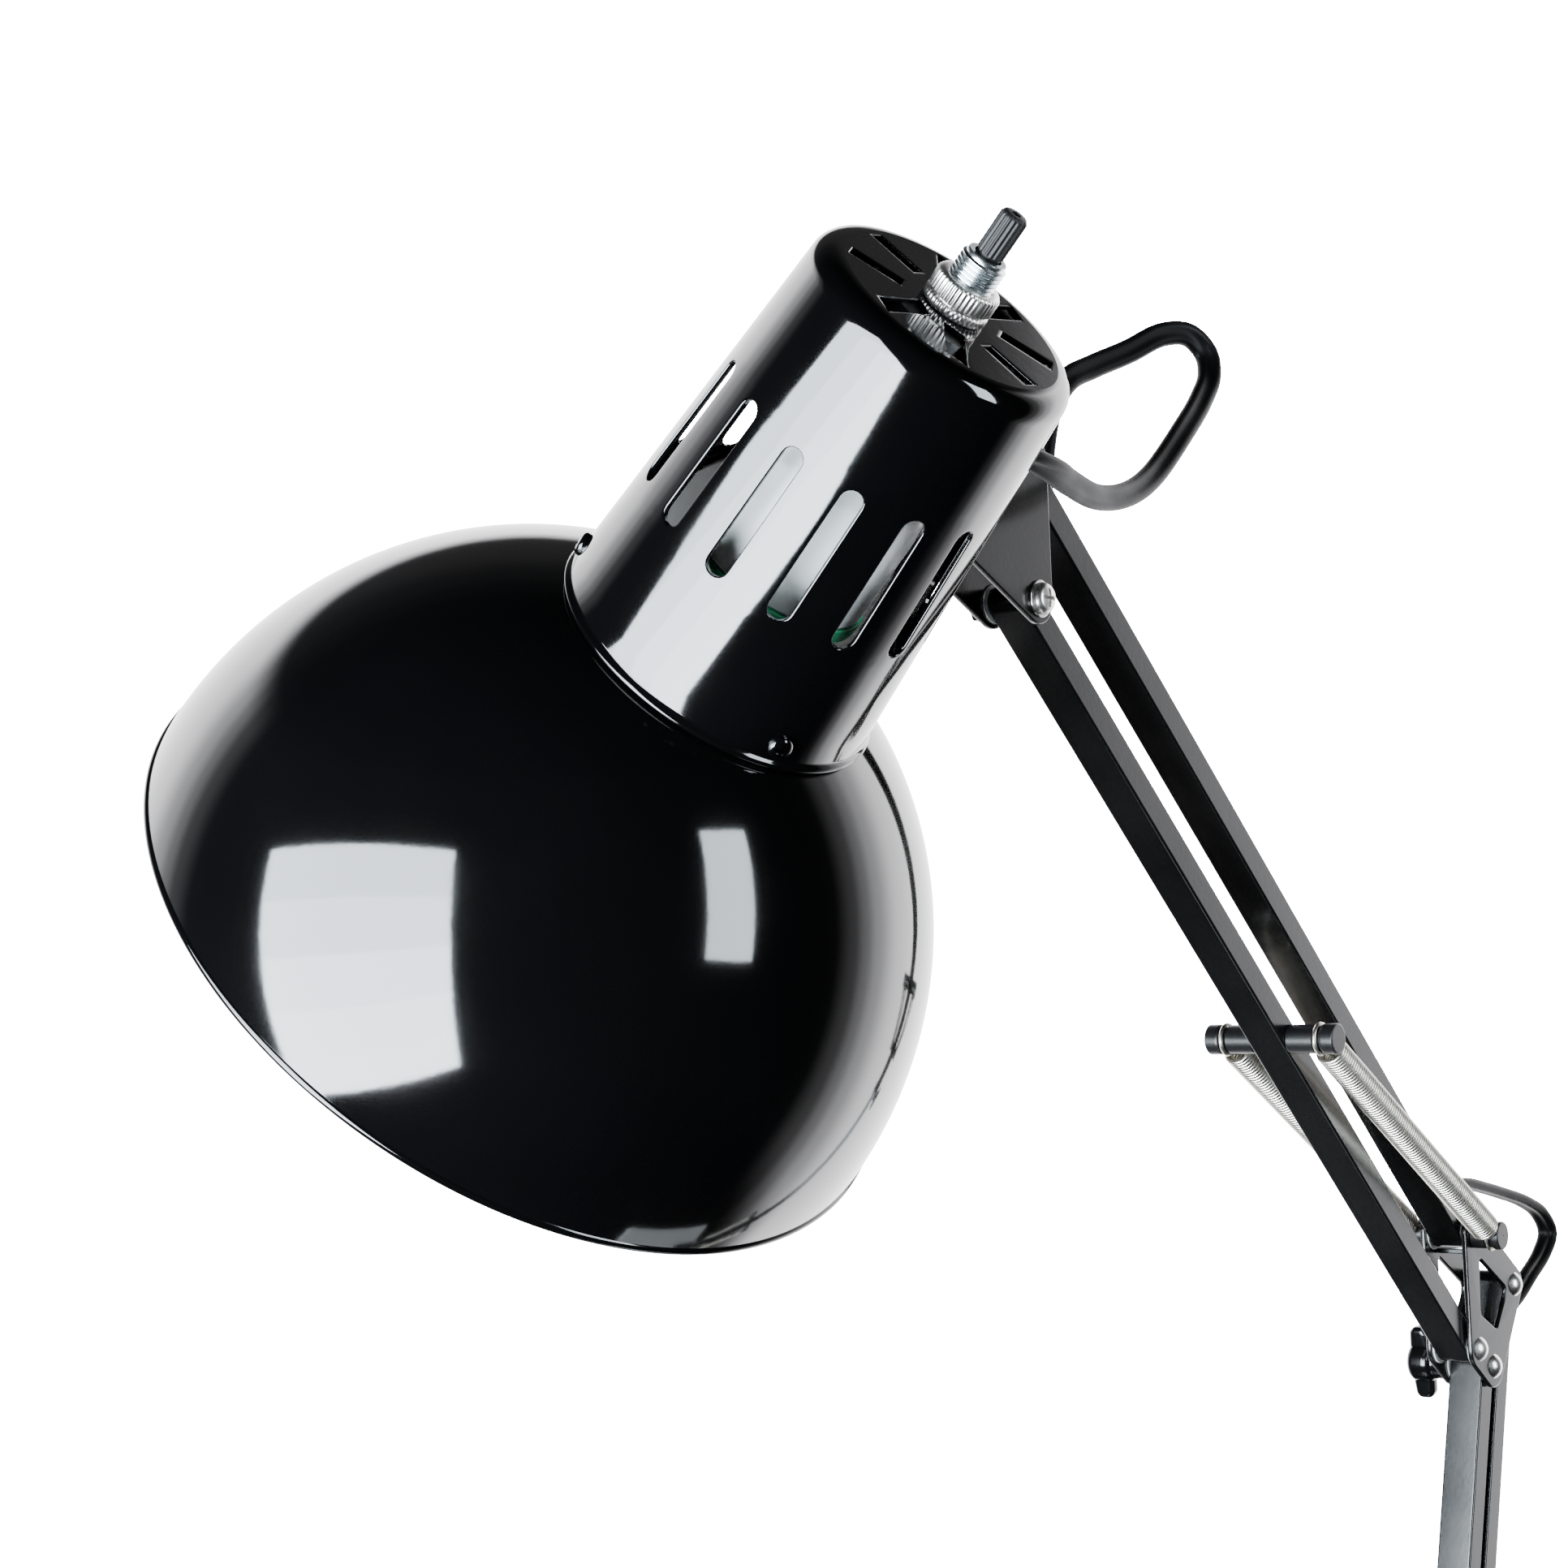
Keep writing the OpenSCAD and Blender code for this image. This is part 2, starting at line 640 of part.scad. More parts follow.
// Rubber grommet where the cord leaves the housing
module cord_grommet() {
    wall = housing_r(grommet_at);
    color("#141414") head() difference() {
        union() {
            radial(grommet_turn, grommet_at, 4.3, wall - 4, wall + 4);
            radial(grommet_turn, grommet_at, 5.5, wall - 4, wall - 2);
            radial(grommet_turn, grommet_at, 5.5, wall + 1.2, wall + 3.2);
        }
        radial(grommet_turn, grommet_at, 3.5, wall - 6, wall + 6);
    }
}

// Free cords
module head_cord() { color("#151515") cord(lift(head_route, head_low), cord_w, cord_t); }
module elbow_cord() { color("#151515") cord(lift(elbow_route, elbow_up), cord_w, cord_t); }
module mains_cord() { color("#151515") cord(mains_route, cord_w, cord_t, level = true); }

module mains_coil() {
    tail = plug_mid + [14.5, -3] - coil_mid;
    color("#151515") translate([coil_mid[0], coil_mid[1], 0]) {
        difference() {
            cylinder(r = coil_out, h = coil_h);
            translate([0, 0, -1]) cylinder(r = coil_in, h = coil_h + 2);
        }
        translate([tail[0], tail[1], 4]) cube([-tail[0], 6, 6]);
    }
}
module mains_plug() {
    color("#151515") translate([plug_mid[0], plug_mid[1], 0]) {
        translate([-14, -11, 0]) cube([28.5, 22, 14]);
        for (y = [-6.35, 6.35]) translate([-31, y - 0.75, 4]) cube([17.5, 1.5, 6.35]);
    }
}

clamp_frame();
clamp_pad();
clamp_screw();
clamp_tommy_bar();
base_bracket();
base_rivets();
base_washers();
base_spring_post();
base_spring_bushes();
lower_front_bar();
lower_rear_bar();
lower_crossbar();
lower_crossbar_bushes();
lower_springs();
lower_lead();
elbow_plate(-plate_out);  // elbow_plate_near
elbow_plate(plate_in);  // elbow_plate_far
elbow_spacer();
elbow_rivets();
elbow_washers();
elbow_bolt();
elbow_wing_knob();
elbow_spring_post();
elbow_spring_bushes();
upper_front_bar();
upper_rear_bar();
upper_crossbar();
upper_crossbar_bushes();
upper_springs();
upper_lead();
head_plate(-plate_out);  // head_plate_near
head_plate(plate_in);  // head_plate_far
head_pivot_screw();
head_rear_rivet();
head_washers();
tilt_knuckle();
tilt_bolt();
tilt_wing_nut();
swivel_stud();
swivel_saddle();
stud_nut();
neck_housing();
shade();
shade_rivets();
lamp_socket();
socket_shell();
bulb_base();
bulb_ballast();
bulb_ring();
bulb_tube();
switch_bushing();
ring_nut();
switch_shaft();
cord_grommet();
head_cord();
elbow_cord();
mains_cord();
mains_coil();
mains_plug();
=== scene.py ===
import bpy
import bmesh
import math
from math import cos, pi, radians, sin
from mathutils import Matrix, Vector, geometry

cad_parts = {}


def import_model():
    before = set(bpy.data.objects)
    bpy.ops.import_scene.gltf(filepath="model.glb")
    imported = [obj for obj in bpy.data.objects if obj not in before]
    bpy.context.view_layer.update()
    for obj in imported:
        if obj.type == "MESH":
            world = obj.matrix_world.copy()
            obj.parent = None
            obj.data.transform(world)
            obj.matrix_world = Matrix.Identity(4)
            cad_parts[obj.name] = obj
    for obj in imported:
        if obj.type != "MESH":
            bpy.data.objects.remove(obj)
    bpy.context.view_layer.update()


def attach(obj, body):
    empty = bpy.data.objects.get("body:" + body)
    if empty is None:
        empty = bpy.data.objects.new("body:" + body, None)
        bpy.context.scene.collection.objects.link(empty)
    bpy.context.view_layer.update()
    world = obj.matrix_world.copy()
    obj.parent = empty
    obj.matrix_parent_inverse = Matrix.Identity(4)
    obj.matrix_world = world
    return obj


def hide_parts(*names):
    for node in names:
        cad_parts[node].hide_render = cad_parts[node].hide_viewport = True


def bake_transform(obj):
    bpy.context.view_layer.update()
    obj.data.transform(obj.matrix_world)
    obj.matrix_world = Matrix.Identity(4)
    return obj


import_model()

# All lengths below are millimetres in the CAD frame, turned into metres when a mesh is made.
MM = 0.001
LEAN, RISE, DIP, TURN = radians(12), radians(40), radians(9), radians(47.5)
FOOT_LOW, FOOT_HIGH = Vector((-7, 0, 52)), Vector((8, 0, 74))
BASE_SPRING = Vector((17, 0, 47))
LOWER_DIR = Vector((sin(LEAN), 0, cos(LEAN)))
LOWER_LEN, UPPER_LEN = 300, 290
ELBOW_FRONT = FOOT_LOW + LOWER_LEN * LOWER_DIR
ELBOW_REAR = ELBOW_FRONT + Vector((15, 0, 22))
ELBOW_UP = ELBOW_FRONT + Vector((-9, 0, 5.5))
ELBOW_SPRING = ELBOW_UP + Vector((-2, 0, 32))
UPPER_DIR = Vector((-cos(RISE), 0, sin(RISE)))
HEAD_LOW = ELBOW_UP + UPPER_LEN * UPPER_DIR
HEAD_HIGH = HEAD_LOW + Vector((-2, 0, 32))
TILT = HEAD_LOW + Vector((-30, 0, 16.5))
LOWER_CROSS = FOOT_LOW + 110 * LOWER_DIR
UPPER_CROSS = ELBOW_UP + 135 * UPPER_DIR
PLATE_IN, PLATE_OUT = 5.5, 7.0
KNOB_TURN = radians(-12)
STUD_AT = 61


def shift(v):
    return Matrix.Translation(Vector(v))


def turned(angle, axis):
    return Matrix.Rotation(angle, 4, axis)


def link(o):
    bpy.context.scene.collection.objects.link(o)
    return o


TILTED = shift(TILT) @ turned(-DIP, "Y")
HEAD = TILTED @ shift((-53.5, 0, -5.5)) @ turned(TURN, "X") @ shift((0, 0, STUD_AT)) @ turned(pi, "X")
# In HEAD, z runs down from the cap's top and x points to the arms
ACROSS = turned(-pi / 2, "X")  # local z becomes world +Y


# ---- camera
def add_camera():
    data = bpy.data.cameras.new("camera")
    data.lens = 67.08
    data.sensor_width = 36
    data.clip_end = 20
    camera = link(bpy.data.objects.new("camera", data))
    right = Vector((0.61766, -0.78643, -0.00360))
    up = Vector((-0.06970, -0.05931, 0.99580))
    back = right.cross(up).normalized()
    up = back.cross(right).normalized()
    camera.matrix_world = Matrix((
        (right.x, up.x, back.x, -0.7296), (right.y, up.y, back.y, -0.3676),
        (right.z, up.z, back.z, 0.4348), (0, 0, 0, 1)))
    bpy.context.scene.camera = camera


add_camera()


def set_values(node, values):
    for name, value in values.items():
        node.inputs[name].default_value = value


def material(name, color, rough, metal=0.0, coat=0.0, vary=0.02, grain=600.0, bump=0.02, tint=0.0,
             spec=0.5):
    """Surface with fine bumps of the given grain and a wide, faint change of shade and roughness."""
    m = bpy.data.materials.new(name)
    m.use_nodes = True
    nodes, links = m.node_tree.nodes, m.node_tree.links
    shader = nodes["Principled BSDF"]
    set_values(shader, {"Metallic": metal, "Specular IOR Level": spec, "Coat Weight": coat,
                        "Coat Roughness": 0.03})
    where = nodes.new("ShaderNodeTexCoord")
    noise = nodes.new("ShaderNodeTexNoise")
    set_values(noise, {"Scale": grain, "Detail": 3.0})
    links.new(where.outputs["Object"], noise.inputs["Vector"])
    wide = nodes.new("ShaderNodeTexNoise")
    set_values(wide, {"Scale": 35.0, "Detail": 4.0})
    links.new(where.outputs["Object"], wide.inputs["Vector"])
    rough_map = nodes.new("ShaderNodeMapRange")
    set_values(rough_map, {"From Min": 0.3, "From Max": 0.7, "To Min": max(0.0, rough - vary),
                           "To Max": rough + vary})
    links.new(wide.outputs["Fac"], rough_map.inputs["Value"])
    links.new(rough_map.outputs["Result"], shader.inputs["Roughness"])
    ramp = nodes.new("ShaderNodeMix")
    ramp.data_type = "RGBA"
    ramp.inputs[6].default_value = (*[c * (1 - tint) for c in color], 1)
    ramp.inputs[7].default_value = (*[min(1, c * (1 + tint)) for c in color], 1)
    links.new(wide.outputs["Fac"], ramp.inputs[0])
    links.new(ramp.outputs[2], shader.inputs["Base Color"])
    b = nodes.new("ShaderNodeBump")
    set_values(b, {"Strength": bump, "Distance": 0.0002})
    links.new(noise.outputs["Fac"], b.inputs["Height"])
    links.new(b.outputs["Normal"], shader.inputs["Normal"])
    return m


ENAMEL = material("black_enamel", (0.0008, 0.0008, 0.0009), 0.07, spec=0.6, vary=0.015, grain=260, bump=0.035,
                  tint=0.2)
ARM = material("arm_enamel", (0.003, 0.0032, 0.0033), 0.19, vary=0.03, grain=700, bump=0.05,
               tint=0.2)
NICKEL = material("nickel", (0.80, 0.77, 0.72), 0.17, metal=1, vary=0.06, grain=900,
                  bump=0.05, tint=0.06)
SPRING = material("spring_nickel", (0.66, 0.63, 0.56), 0.3, metal=1, vary=0.05, grain=1500,
                  bump=0.06, tint=0.05)
ZINC = material("zinc", (0.72, 0.78, 0.80), 0.22, metal=1, vary=0.08, grain=700, bump=0.08, tint=0.12)
BRASS = material("brass", (0.78, 0.6, 0.28), 0.3, metal=1, vary=0.08, tint=0.1)
BULB_WHITE = material("bulb_white", (0.80, 0.83, 0.83), 0.32, vary=0.05, grain=1200, bump=0.05, tint=0.03)
BULB_GREEN = material("bulb_green", (0.02, 0.32, 0.14), 0.35, vary=0.05, grain=1200, bump=0.05, tint=0.1)
BULB_GLASS = material("bulb_glass", (0.90, 0.91, 0.92), 0.08, coat=0.5, vary=0.02, tint=0.02)
GLOSS = material("gloss_plastic", (0.002, 0.002, 0.0022), 0.14, vary=0.04, grain=500,
                 bump=0.03, tint=0.2)
PLASTIC = material("black_plastic", (0.003, 0.003, 0.0035), 0.38, vary=0.06, grain=1500, bump=0.12, tint=0.2)
SHAFT = material("shaft_plastic", (0.003, 0.003, 0.0035), 0.5, spec=0.3, vary=0.06,
                 grain=1500, bump=0.1, tint=0.2)
RIVET = material("rivet_nickel", (0.86, 0.84, 0.80), 0.3, metal=1, vary=0.05, grain=900,
                 bump=0.05, tint=0.06)
WASHER = material("white_plastic", (0.70, 0.70, 0.66), 0.4, vary=0.05, grain=1200, bump=0.08, tint=0.04)
RUBBER = material("rubber", (0.004, 0.004, 0.004), 0.55, vary=0.08, grain=1800, bump=0.15, tint=0.2)
VINYL = material("cord_vinyl", (0.0016, 0.0016, 0.0018), 0.52, spec=0.18, vary=0.07, grain=1400, bump=0.08,
                 tint=0.25)
LINING = material("shade_lining", (0.82, 0.82, 0.80), 0.3, vary=0.05, grain=400, bump=0.06, tint=0.02)


# ---- mesh tools
class Shape:
    """Gathers parts of one piece, in millimetres."""

    def __init__(self):
        self.verts, self.faces, self.slots = [], [], []

    def add(self, part, at=Matrix(), slot=0):
        verts, faces = part
        base = len(self.verts)
        flip = at.to_3x3().determinant() < 0
        self.verts += [at @ Vector(v) for v in verts]
        for f in faces:
            self.faces.append([base + i for i in (reversed(f) if flip else f)])
            self.slots.append(slot)
        return self


def to_mesh(shape, name, sharp=38):
    mesh = bpy.data.meshes.new(name)
    mesh.from_pydata([tuple(v * MM) for v in shape.verts], [], shape.faces)
    for polygon, index in zip(mesh.polygons, shape.slots):
        polygon.material_index = index
    bm = bmesh.new()
    bm.from_mesh(mesh)
    bmesh.ops.remove_doubles(bm, verts=bm.verts, dist=2e-6)
    bmesh.ops.dissolve_degenerate(bm, edges=bm.edges, dist=1e-7)
    shade_smooth(bm, sharp)
    bm.to_mesh(mesh)
    bm.free()
    return mesh


def shade_smooth(bm, sharp):
    for face in bm.faces:
        face.smooth = True
    for edge in bm.edges:
        if len(edge.link_faces) == 2:
            edge.smooth = edge.calc_face_angle(0) < radians(sharp)


def place(mesh, name, body, mats, nodes=()):
    """Puts a mesh in the scene on its body, in place of the CAD nodes that it stands for."""
    mats = mats if isinstance(mats, list) else [mats]
    o = link(bpy.data.objects.new(name, mesh))
    for m in mats:
        mesh.materials.append(m)
    even = o.modifiers.new("even_normals", "WEIGHTED_NORMAL")
    even.keep_sharp = True
    if body:
        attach(o, body)
    if nodes:
        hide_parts(*nodes)
    return o


def piece(shape, name, body, mats, nodes=(), sharp=38):
    return place(to_mesh(shape, name, sharp), name, body, mats, nodes)


def carved(shape, cutter, name, sharp=38):
    """The shape's mesh with the cutter's solid taken away."""
    objects = []
    for part, label in ((shape, name), (cutter, name + "_cut")):
        objects.append(link(bpy.data.objects.new(label, to_mesh(part, label))))
    solid, tool = objects
    mod = solid.modifiers.new("cut", "BOOLEAN")
    mod.operation, mod.solver, mod.object = "DIFFERENCE", "EXACT", tool
    bpy.context.view_layer.update()
    out = bpy.data.meshes.new_from_object(solid.evaluated_get(bpy.context.evaluated_depsgraph_get()))
    for o in objects:
        old = o.data
        bpy.data.objects.remove(o)
        bpy.data.meshes.remove(old)
    bm = bmesh.new()
    bm.from_mesh(out)
    shade_smooth(bm, sharp)
    bm.to_mesh(out)
    bm.free()
    out.name = name
    return out


def rings(loops, closed=True, caps=False):
    """Quads between loops of equal size."""
    n = len(loops[0])
    verts = [v for loop in loops for v in loop]
    faces = []
    for a in range(len(loops) - 1):
        for i in range(n if closed else n - 1):
            j = (i + 1) % n
            faces.append((a * n + i, a * n + j, (a + 1) * n + j, (a + 1) * n + i))
    if caps:
        faces.append(tuple(range(n))[::-1])
        faces.append(tuple((len(loops) - 1) * n + i for i in range(n)))
    return verts, faces


def flipped(part):
    verts, faces = part
    return verts, [f[::-1] for f in faces]


def eased(points, r, steps=3, closed=False):
    """A polyline with its corners rounded."""
    out = []
    n = len(points)
    for i, p in enumerate(points):
        if not closed and i in (0, n - 1):
            out.append(tuple(p))
            continue
        p, a, b = Vector(p), Vector(points[i - 1]), Vector(points[(i + 1) % n])
        da, db = (a - p), (b - p)
        k = min(r, da.length * 0.45, db.length * 0.45)
        if k < 1e-4 or abs(da.normalized().dot(db.normalized())) > 0.9995:
            out.append(tuple(p))
            continue
        s, e = p + da.normalized() * k, p + db.normalized() * k
        for j in range(steps + 1):
            t = j / steps
            out.append(tuple(s * (1 - t) ** 2 + p * 2 * t * (1 - t) + e * t ** 2))
    return out


def lathe(profile, n=48, r=0.0, closed=False, steps=3):
    """Surface of revolution about z from (radius, z) points given anticlockwise."""
    pts = eased(profile, r, steps, closed) if r else list(profile)
    if closed:
        pts.append(pts[0])
    loops = [[(p[0] * cos(2 * pi * i / n), p[0] * sin(2 * pi * i / n), p[1]) for i in range(n)] for p in pts]
    return rings(loops)


def rod(r, z0, z1, edge=0.3, n=32):
    return lathe([(0, z0), (r, z0), (r, z1), (0, z1)], n, edge)


def ring_part(r0, r1, z0, z1, edge=0.3, n=48):
    return lathe([(r0, z0), (r1, z0), (r1, z1), (r0, z1)], n, edge, closed=True)


def dome(r, h, n=32):
    ball = (r * r + h * h) / (2 * h)
    top = [(ball * sin(a), h - ball + ball * cos(a)) for a in
           [math.asin(min(1, r / ball)) * (1 - k / 8) for k in range(9)]]
    return lathe([(0, -0.2), (r - 0.15, -0.2), (r, 0)] + top, n)


def offset_loop(loop, d):
    """A closed 2D loop moved outwards by d; the loop runs anticlockwise."""
    out = []
    n = len(loop)
    for i in range(n):
        a, b = Vector(loop[i - 1]), Vector(loop[(i + 1) % n])
        t = (b - a).normalized()
        out.append((loop[i][0] + t.y * d, loop[i][1] - t.x * d))
    return out


def slab(outer, holes, z0, z1, edge=0.35, steps=3):
    """Flat plate with rounded edges; loops run anticlockwise in x, y."""
    verts, faces = [], []
    curves = []
    for k in range(steps + 1):
        a = pi / 2 * k / steps
        curves.append((-edge * (1 - sin(a)), z1 - edge * (1 - cos(a))))
    curves += [(d, z0 + z1 - z) for d, z in reversed(curves)]
    top, low = [], []
    for number, loop in enumerate([outer] + list(holes)):
        sign = 1 if number == 0 else -1
        n = len(loop)
        start = len(verts)
        for d, z in curves:
            verts += [(x, y, z) for x, y in offset_loop(loop, sign * d)]
        for a in range(len(curves) - 1):
            for i in range(n):
                j = (i + 1) % n
                quad = (start + a * n + i, start + (a + 1) * n + i, start + (a + 1) * n + j, start + a * n + j)
                faces.append(quad if sign > 0 else quad[::-1])
        top.append(list(range(start, start + n)))
        low.append(list(range(start + (len(curves) - 1) * n, start + len(curves) * n)))
    for side, flip in ((top, False), (low, True)):
        flat = [i for loop in side for i in loop]
        for tri in geometry.tessellate_polygon([[Vector(verts[i]) for i in loop] for loop in side]):
            f = [flat[i] for i in tri]
            a, b, c = (Vector(verts[i]) for i in f)
            if ((b - a).cross(c - a).z < 0) != flip:
                f.reverse()
            faces.append(tuple(f))
    return verts, faces


def disc_loop(x, y, r, n=28):
    return [(x + r * cos(2 * pi * i / n), y + r * sin(2 * pi * i / n)) for i in range(n)]


def hull_loop(lobes, n=40):
    pts = [Vector(p) for x, y, r in lobes for p in disc_loop(x, y, r, n)]
    return [tuple(pts[i]) for i in geometry.convex_hull_2d(pts)]


def spread_loop(loop, step):
    """Extra points along a loop's long sides."""
    out = []
    for i, p in enumerate(loop):
        a, b = Vector(p), Vector(loop[(i + 1) % len(loop)])
        k = max(1, int((b - a).length / step))
        out += [tuple(a.lerp(b, j / k)) for j in range(k)]
    return out


def box_part(lo, hi, edge=0.4):
    x0, y0, z0 = lo
    x1, y1, z1 = hi
    loop = eased([(x0, y0), (x1, y0), (x1, y1), (x0, y1)], edge * 1.5, 3, closed=True)
    return slab(loop, [], z0, z1, edge)


# Plates and bars are drawn in x, z and given a thickness across the arms
def in_plane(y0, y1, loop, holes=(), edge=0.35):
    """Plate between y0 and y1 whose outline is in x, z."""
    flip = [(x, -z) for x, z in reversed(loop)]
    cuts = [[(x, -z) for x, z in reversed(h)] for h in holes]
    return slab(flip, cuts, y0, y1, edge), ACROSS


def smooth_path(points, step):
    """Centripetal curve through the points, sampled evenly."""
    pts = [Vector(p) for p in points]
    pts = [pts[0] * 2 - pts[1]] + pts + [pts[-1] * 2 - pts[-2]]
    dense = []
    for i in range(1, len(pts) - 2):
        p0, p1, p2, p3 = pts[i - 1:i + 3]
        t = [0.0]
        for a, b in ((p0, p1), (p1, p2), (p2, p3)):
            t.append(t[-1] + max(1e-6, (b - a).length) ** 0.5)
        for k in range(24):
            u = t[1] + (t[2] - t[1]) * k / 24
            a1 = p0.lerp(p1, (u - t[0]) / (t[1] - t[0]))
            a2 = p1.lerp(p2, (u - t[1]) / (t[2] - t[1]))
            a3 = p2.lerp(p3, (u - t[2]) / (t[3] - t[2]))
            b1 = a1.lerp(a2, (u - t[0]) / (t[2] - t[0]))
            b2 = a2.lerp(a3, (u - t[1]) / (t[3] - t[1]))
            dense.append(b1.lerp(b2, (u - t[1]) / (t[2] - t[1])))
    dense.append(pts[-2])
    out, carry = [dense[0]], 0.0
    for a, b in zip(dense, dense[1:]):
        run = (b - a).length
        at = step - carry
        while at <= run:
            out.append(a.lerp(b, at / run))
            at += step
        carry = (carry + run) % step
    if (out[-1] - dense[-1]).length > step * 0.3:
        out.append(dense[-1])
    return out


def swept(path, section, side, follow=False, face=None):
    """Section (x along side, y square to it) carried along a path of points."""
    loops = []
    side = Vector(side).normalized()
    before = side
    for i, p in enumerate(path):
        d = (path[min(i + 1, len(path) - 1)] - path[max(i - 1, 0)]).normalized()
        want = side
        if face:
            t = min(1.0, min(i, len(path) - 1 - i) / (len(path) * 0.16))
            t = t * t * (3 - 2 * t)
            broad = d.cross(Vector(face)).normalized()
            ends = side if side.dot(before) > 0 else -side
            want = ends.lerp(broad if broad.dot(before) > 0 else -broad, t)
        u = (want - want.dot(d) * d).normalized()
        before = u
        if follow:
            side = u
        v = d.cross(u)
        loops.append([p + u * x + v * y for x, y in section])
    return rings(loops, caps=True)


def twin_section(width, thick, n=10):
    """Outline of two round wires side by side with a groove between them."""
    r = thick / 2
    c = width / 2 - r
    right = [(c + r * cos(a), r * sin(a)) for a in [radians(-132 + 264 * k / n) for k in range(n + 1)]]
    left = [(-x, -y) for x, y in right]
    return right + left


def declare(path):
    return [tuple(Vector(p) * MM) for p in path]


# ---- cords
TWIN = twin_section(6, 3)
HEAD_ROUTE = [(-60, -34.5, 22.5), (-54.5, -36, 21.5), (-49, -37.5, 20.5), (-40, -37, 19.5),
              (-29, -34, 19), (-9, -28.5, 19.5), (10, -24.5, 23.5), (26, -21.5, 30.5), (46, -18.5, 45),
              (60, -15.5, 55.5), (68.5, -13, 63.5), (70.5, -11, 69.5), (66, -9, 73.5), (57.5, -6.5, 72.5),
              (46, -3.5, 66.5), (34, -1, 61), (24, 0, 56), (16, 0, 47), (12.5, 0, 34), (12, 0, 23.5)]
ELBOW_ROUTE = [(-16, 0, 45), (-11, 0, 45.5), (-4, 0, 46), (6, 0, 46), (17, 0, 44.5), (32, 0, 42),
               (47, 0, 39), (58, 0, 35), (63.5, 0, 29), (58.5, 0, 23), (47.5, 0, 16.5), (40, 0, 12),
               (32, 0, 8.5), (23.5, 0, 6)]
MAINS_ROUTE = [(16, 0, 105.5), (20.5, 0, 98.5), (26, 0.5, 91), (33, 3, 82.5), (40, 8, 73), (46, 16, 62),
               (49, 26, 50), (48, 37, 38.5), (43, 48, 27), (35, 58, 16), (25, 67, 7.5), (18.5, 76.5, 3)]
COIL_MID = Vector((-22, 106, 0))
LAID_Z, LAYER_H = 1.6, 3.15  # middle of a cord that lies on the desk, and the step to the next layer
PLUG_AT = (-69, 142.9, 0)
LEAD_STEP = 2.6  # between the mains lead's rings


def length_of(path):
    return round(sum((b - a).length for a, b in zip(path, path[1:])) * MM, 3)


def cord_piece(name, path, nodes, face=None):
    shape = Shape().add(swept(path, TWIN, (0, 1, 0), face=face))
    o = piece(shape, name, None, VINYL, nodes, sharp=60)
    length_of(path)
    declare(path)
    return o


def head_cord():
    path = smooth_path([HEAD_LOW + Vector(p) for p in HEAD_ROUTE], 2.0)
    o = cord_piece("head_cord_loop", path, ("head_cord",), face=(0.78, 0.62, 0.1))
    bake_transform(o)


def elbow_cord():
    path = smooth_path([ELBOW_UP + Vector(p) for p in ELBOW_ROUTE], 2.0)
    o = cord_piece("elbow_cord_loop", path, ("elbow_cord",))
    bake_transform(o)


def coil_turns():
    """The mains lead's unused length, wound flat in layers, and its end led off to the plug."""
    outer, middle, inner = 36.9, 30.7, 24.5
    spots = [(outer, 0), (middle, 0), (inner, 0), (inner, 1), (middle, 1), (outer, 1), (outer, 2),
             (middle, 2), (middle, 3), (outer, 3)]
    per = 20  # points in a turn
    start = radians(-25)
    points = []
    for k, (r, layer) in enumerate(spots):
        r2, layer2 = spots[min(k + 1, len(spots) - 1)]
        for j in range(per):
            t = j / per
            a = start + 2 * pi * t
            if k == len(spots) - 1 and a > pi / 2:
                break
            e = max(0.0, (t - 0.7) / 0.3)
            e = e * e * (3 - 2 * e)
            radius = r + (r2 - r) * e
            height = LAID_Z + LAYER_H * (layer + (layer2 - layer) * e)
            points.append(COIL_MID + Vector((radius * cos(a), radius * sin(a), height)))
    for x, z in ((-6, 11), (-13, 10.4), (-21, 8.8), (-29, 7.3), (-34, 7)):
        points.append(COIL_MID + Vector((x, outer, z)))
    return points


def mains_cord():
    points = [Vector(p) for p in MAINS_ROUTE] + [Vector((15.8, 83, 1.8))] + coil_turns()[1:]
    path = smooth_path(points, LEAD_STEP)
    loops = []
    for i, p in enumerate(path):
        d = (path[min(i + 1, len(path) - 1)] - path[max(i - 1, 0)]).normalized()
        # The cord's width turns from across the bars to level within its first 60 mm
        t = min(1.0, i * LEAD_STEP / 60)
        flat = Vector((0, 0, 1)).cross(d)
        want = Vector((0, 1, 0)).lerp(flat.normalized(), t)
        u = (want - want.dot(d) * d).normalized()
        v = d.cross(u)
        loops.append([p + u * x + v * y for x, y in TWIN])
    shape = Shape().add(rings(loops, caps=True))
    o = piece(shape, "mains_lead", None, VINYL, ("mains_cord", "mains_coil"), sharp=60)
    relief = strain_relief()
    plug = mains_plug()
    length_of(path)
    declare(path)
    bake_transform(o)


def strain_relief():
    """Ribbed sleeve where the mains lead leaves the bar, wide there and close to the cord at its end."""
    spine = smooth_path([Vector(p) for p in MAINS_ROUTE[:4]], 1.5)[:17]
    o = piece(Shape().add(swept(spine, disc_loop(0, 0, 1, 20), (0, 1, 0))), "mains_strain_relief", "lower_rear",
              RUBBER)
    for v in o.data.vertices:
        k = min(range(len(spine)), key=lambda j: (spine[j] * MM - v.co).length)
        t = k / (len(spine) - 1)
        c = spine[k] * MM
        off = v.co - c
        wide, high = 4.6 - 1.1 * t, 3.4 - 1.4 * t
        groove = 0.35 if 0.15 < t < 0.95 and k % 3 == 1 else 0.0
        rest = Vector((off.x, 0, off.z))
        v.co = c + Vector((0, off.y * (wide - groove), 0)) + rest * (high - groove)
    return o


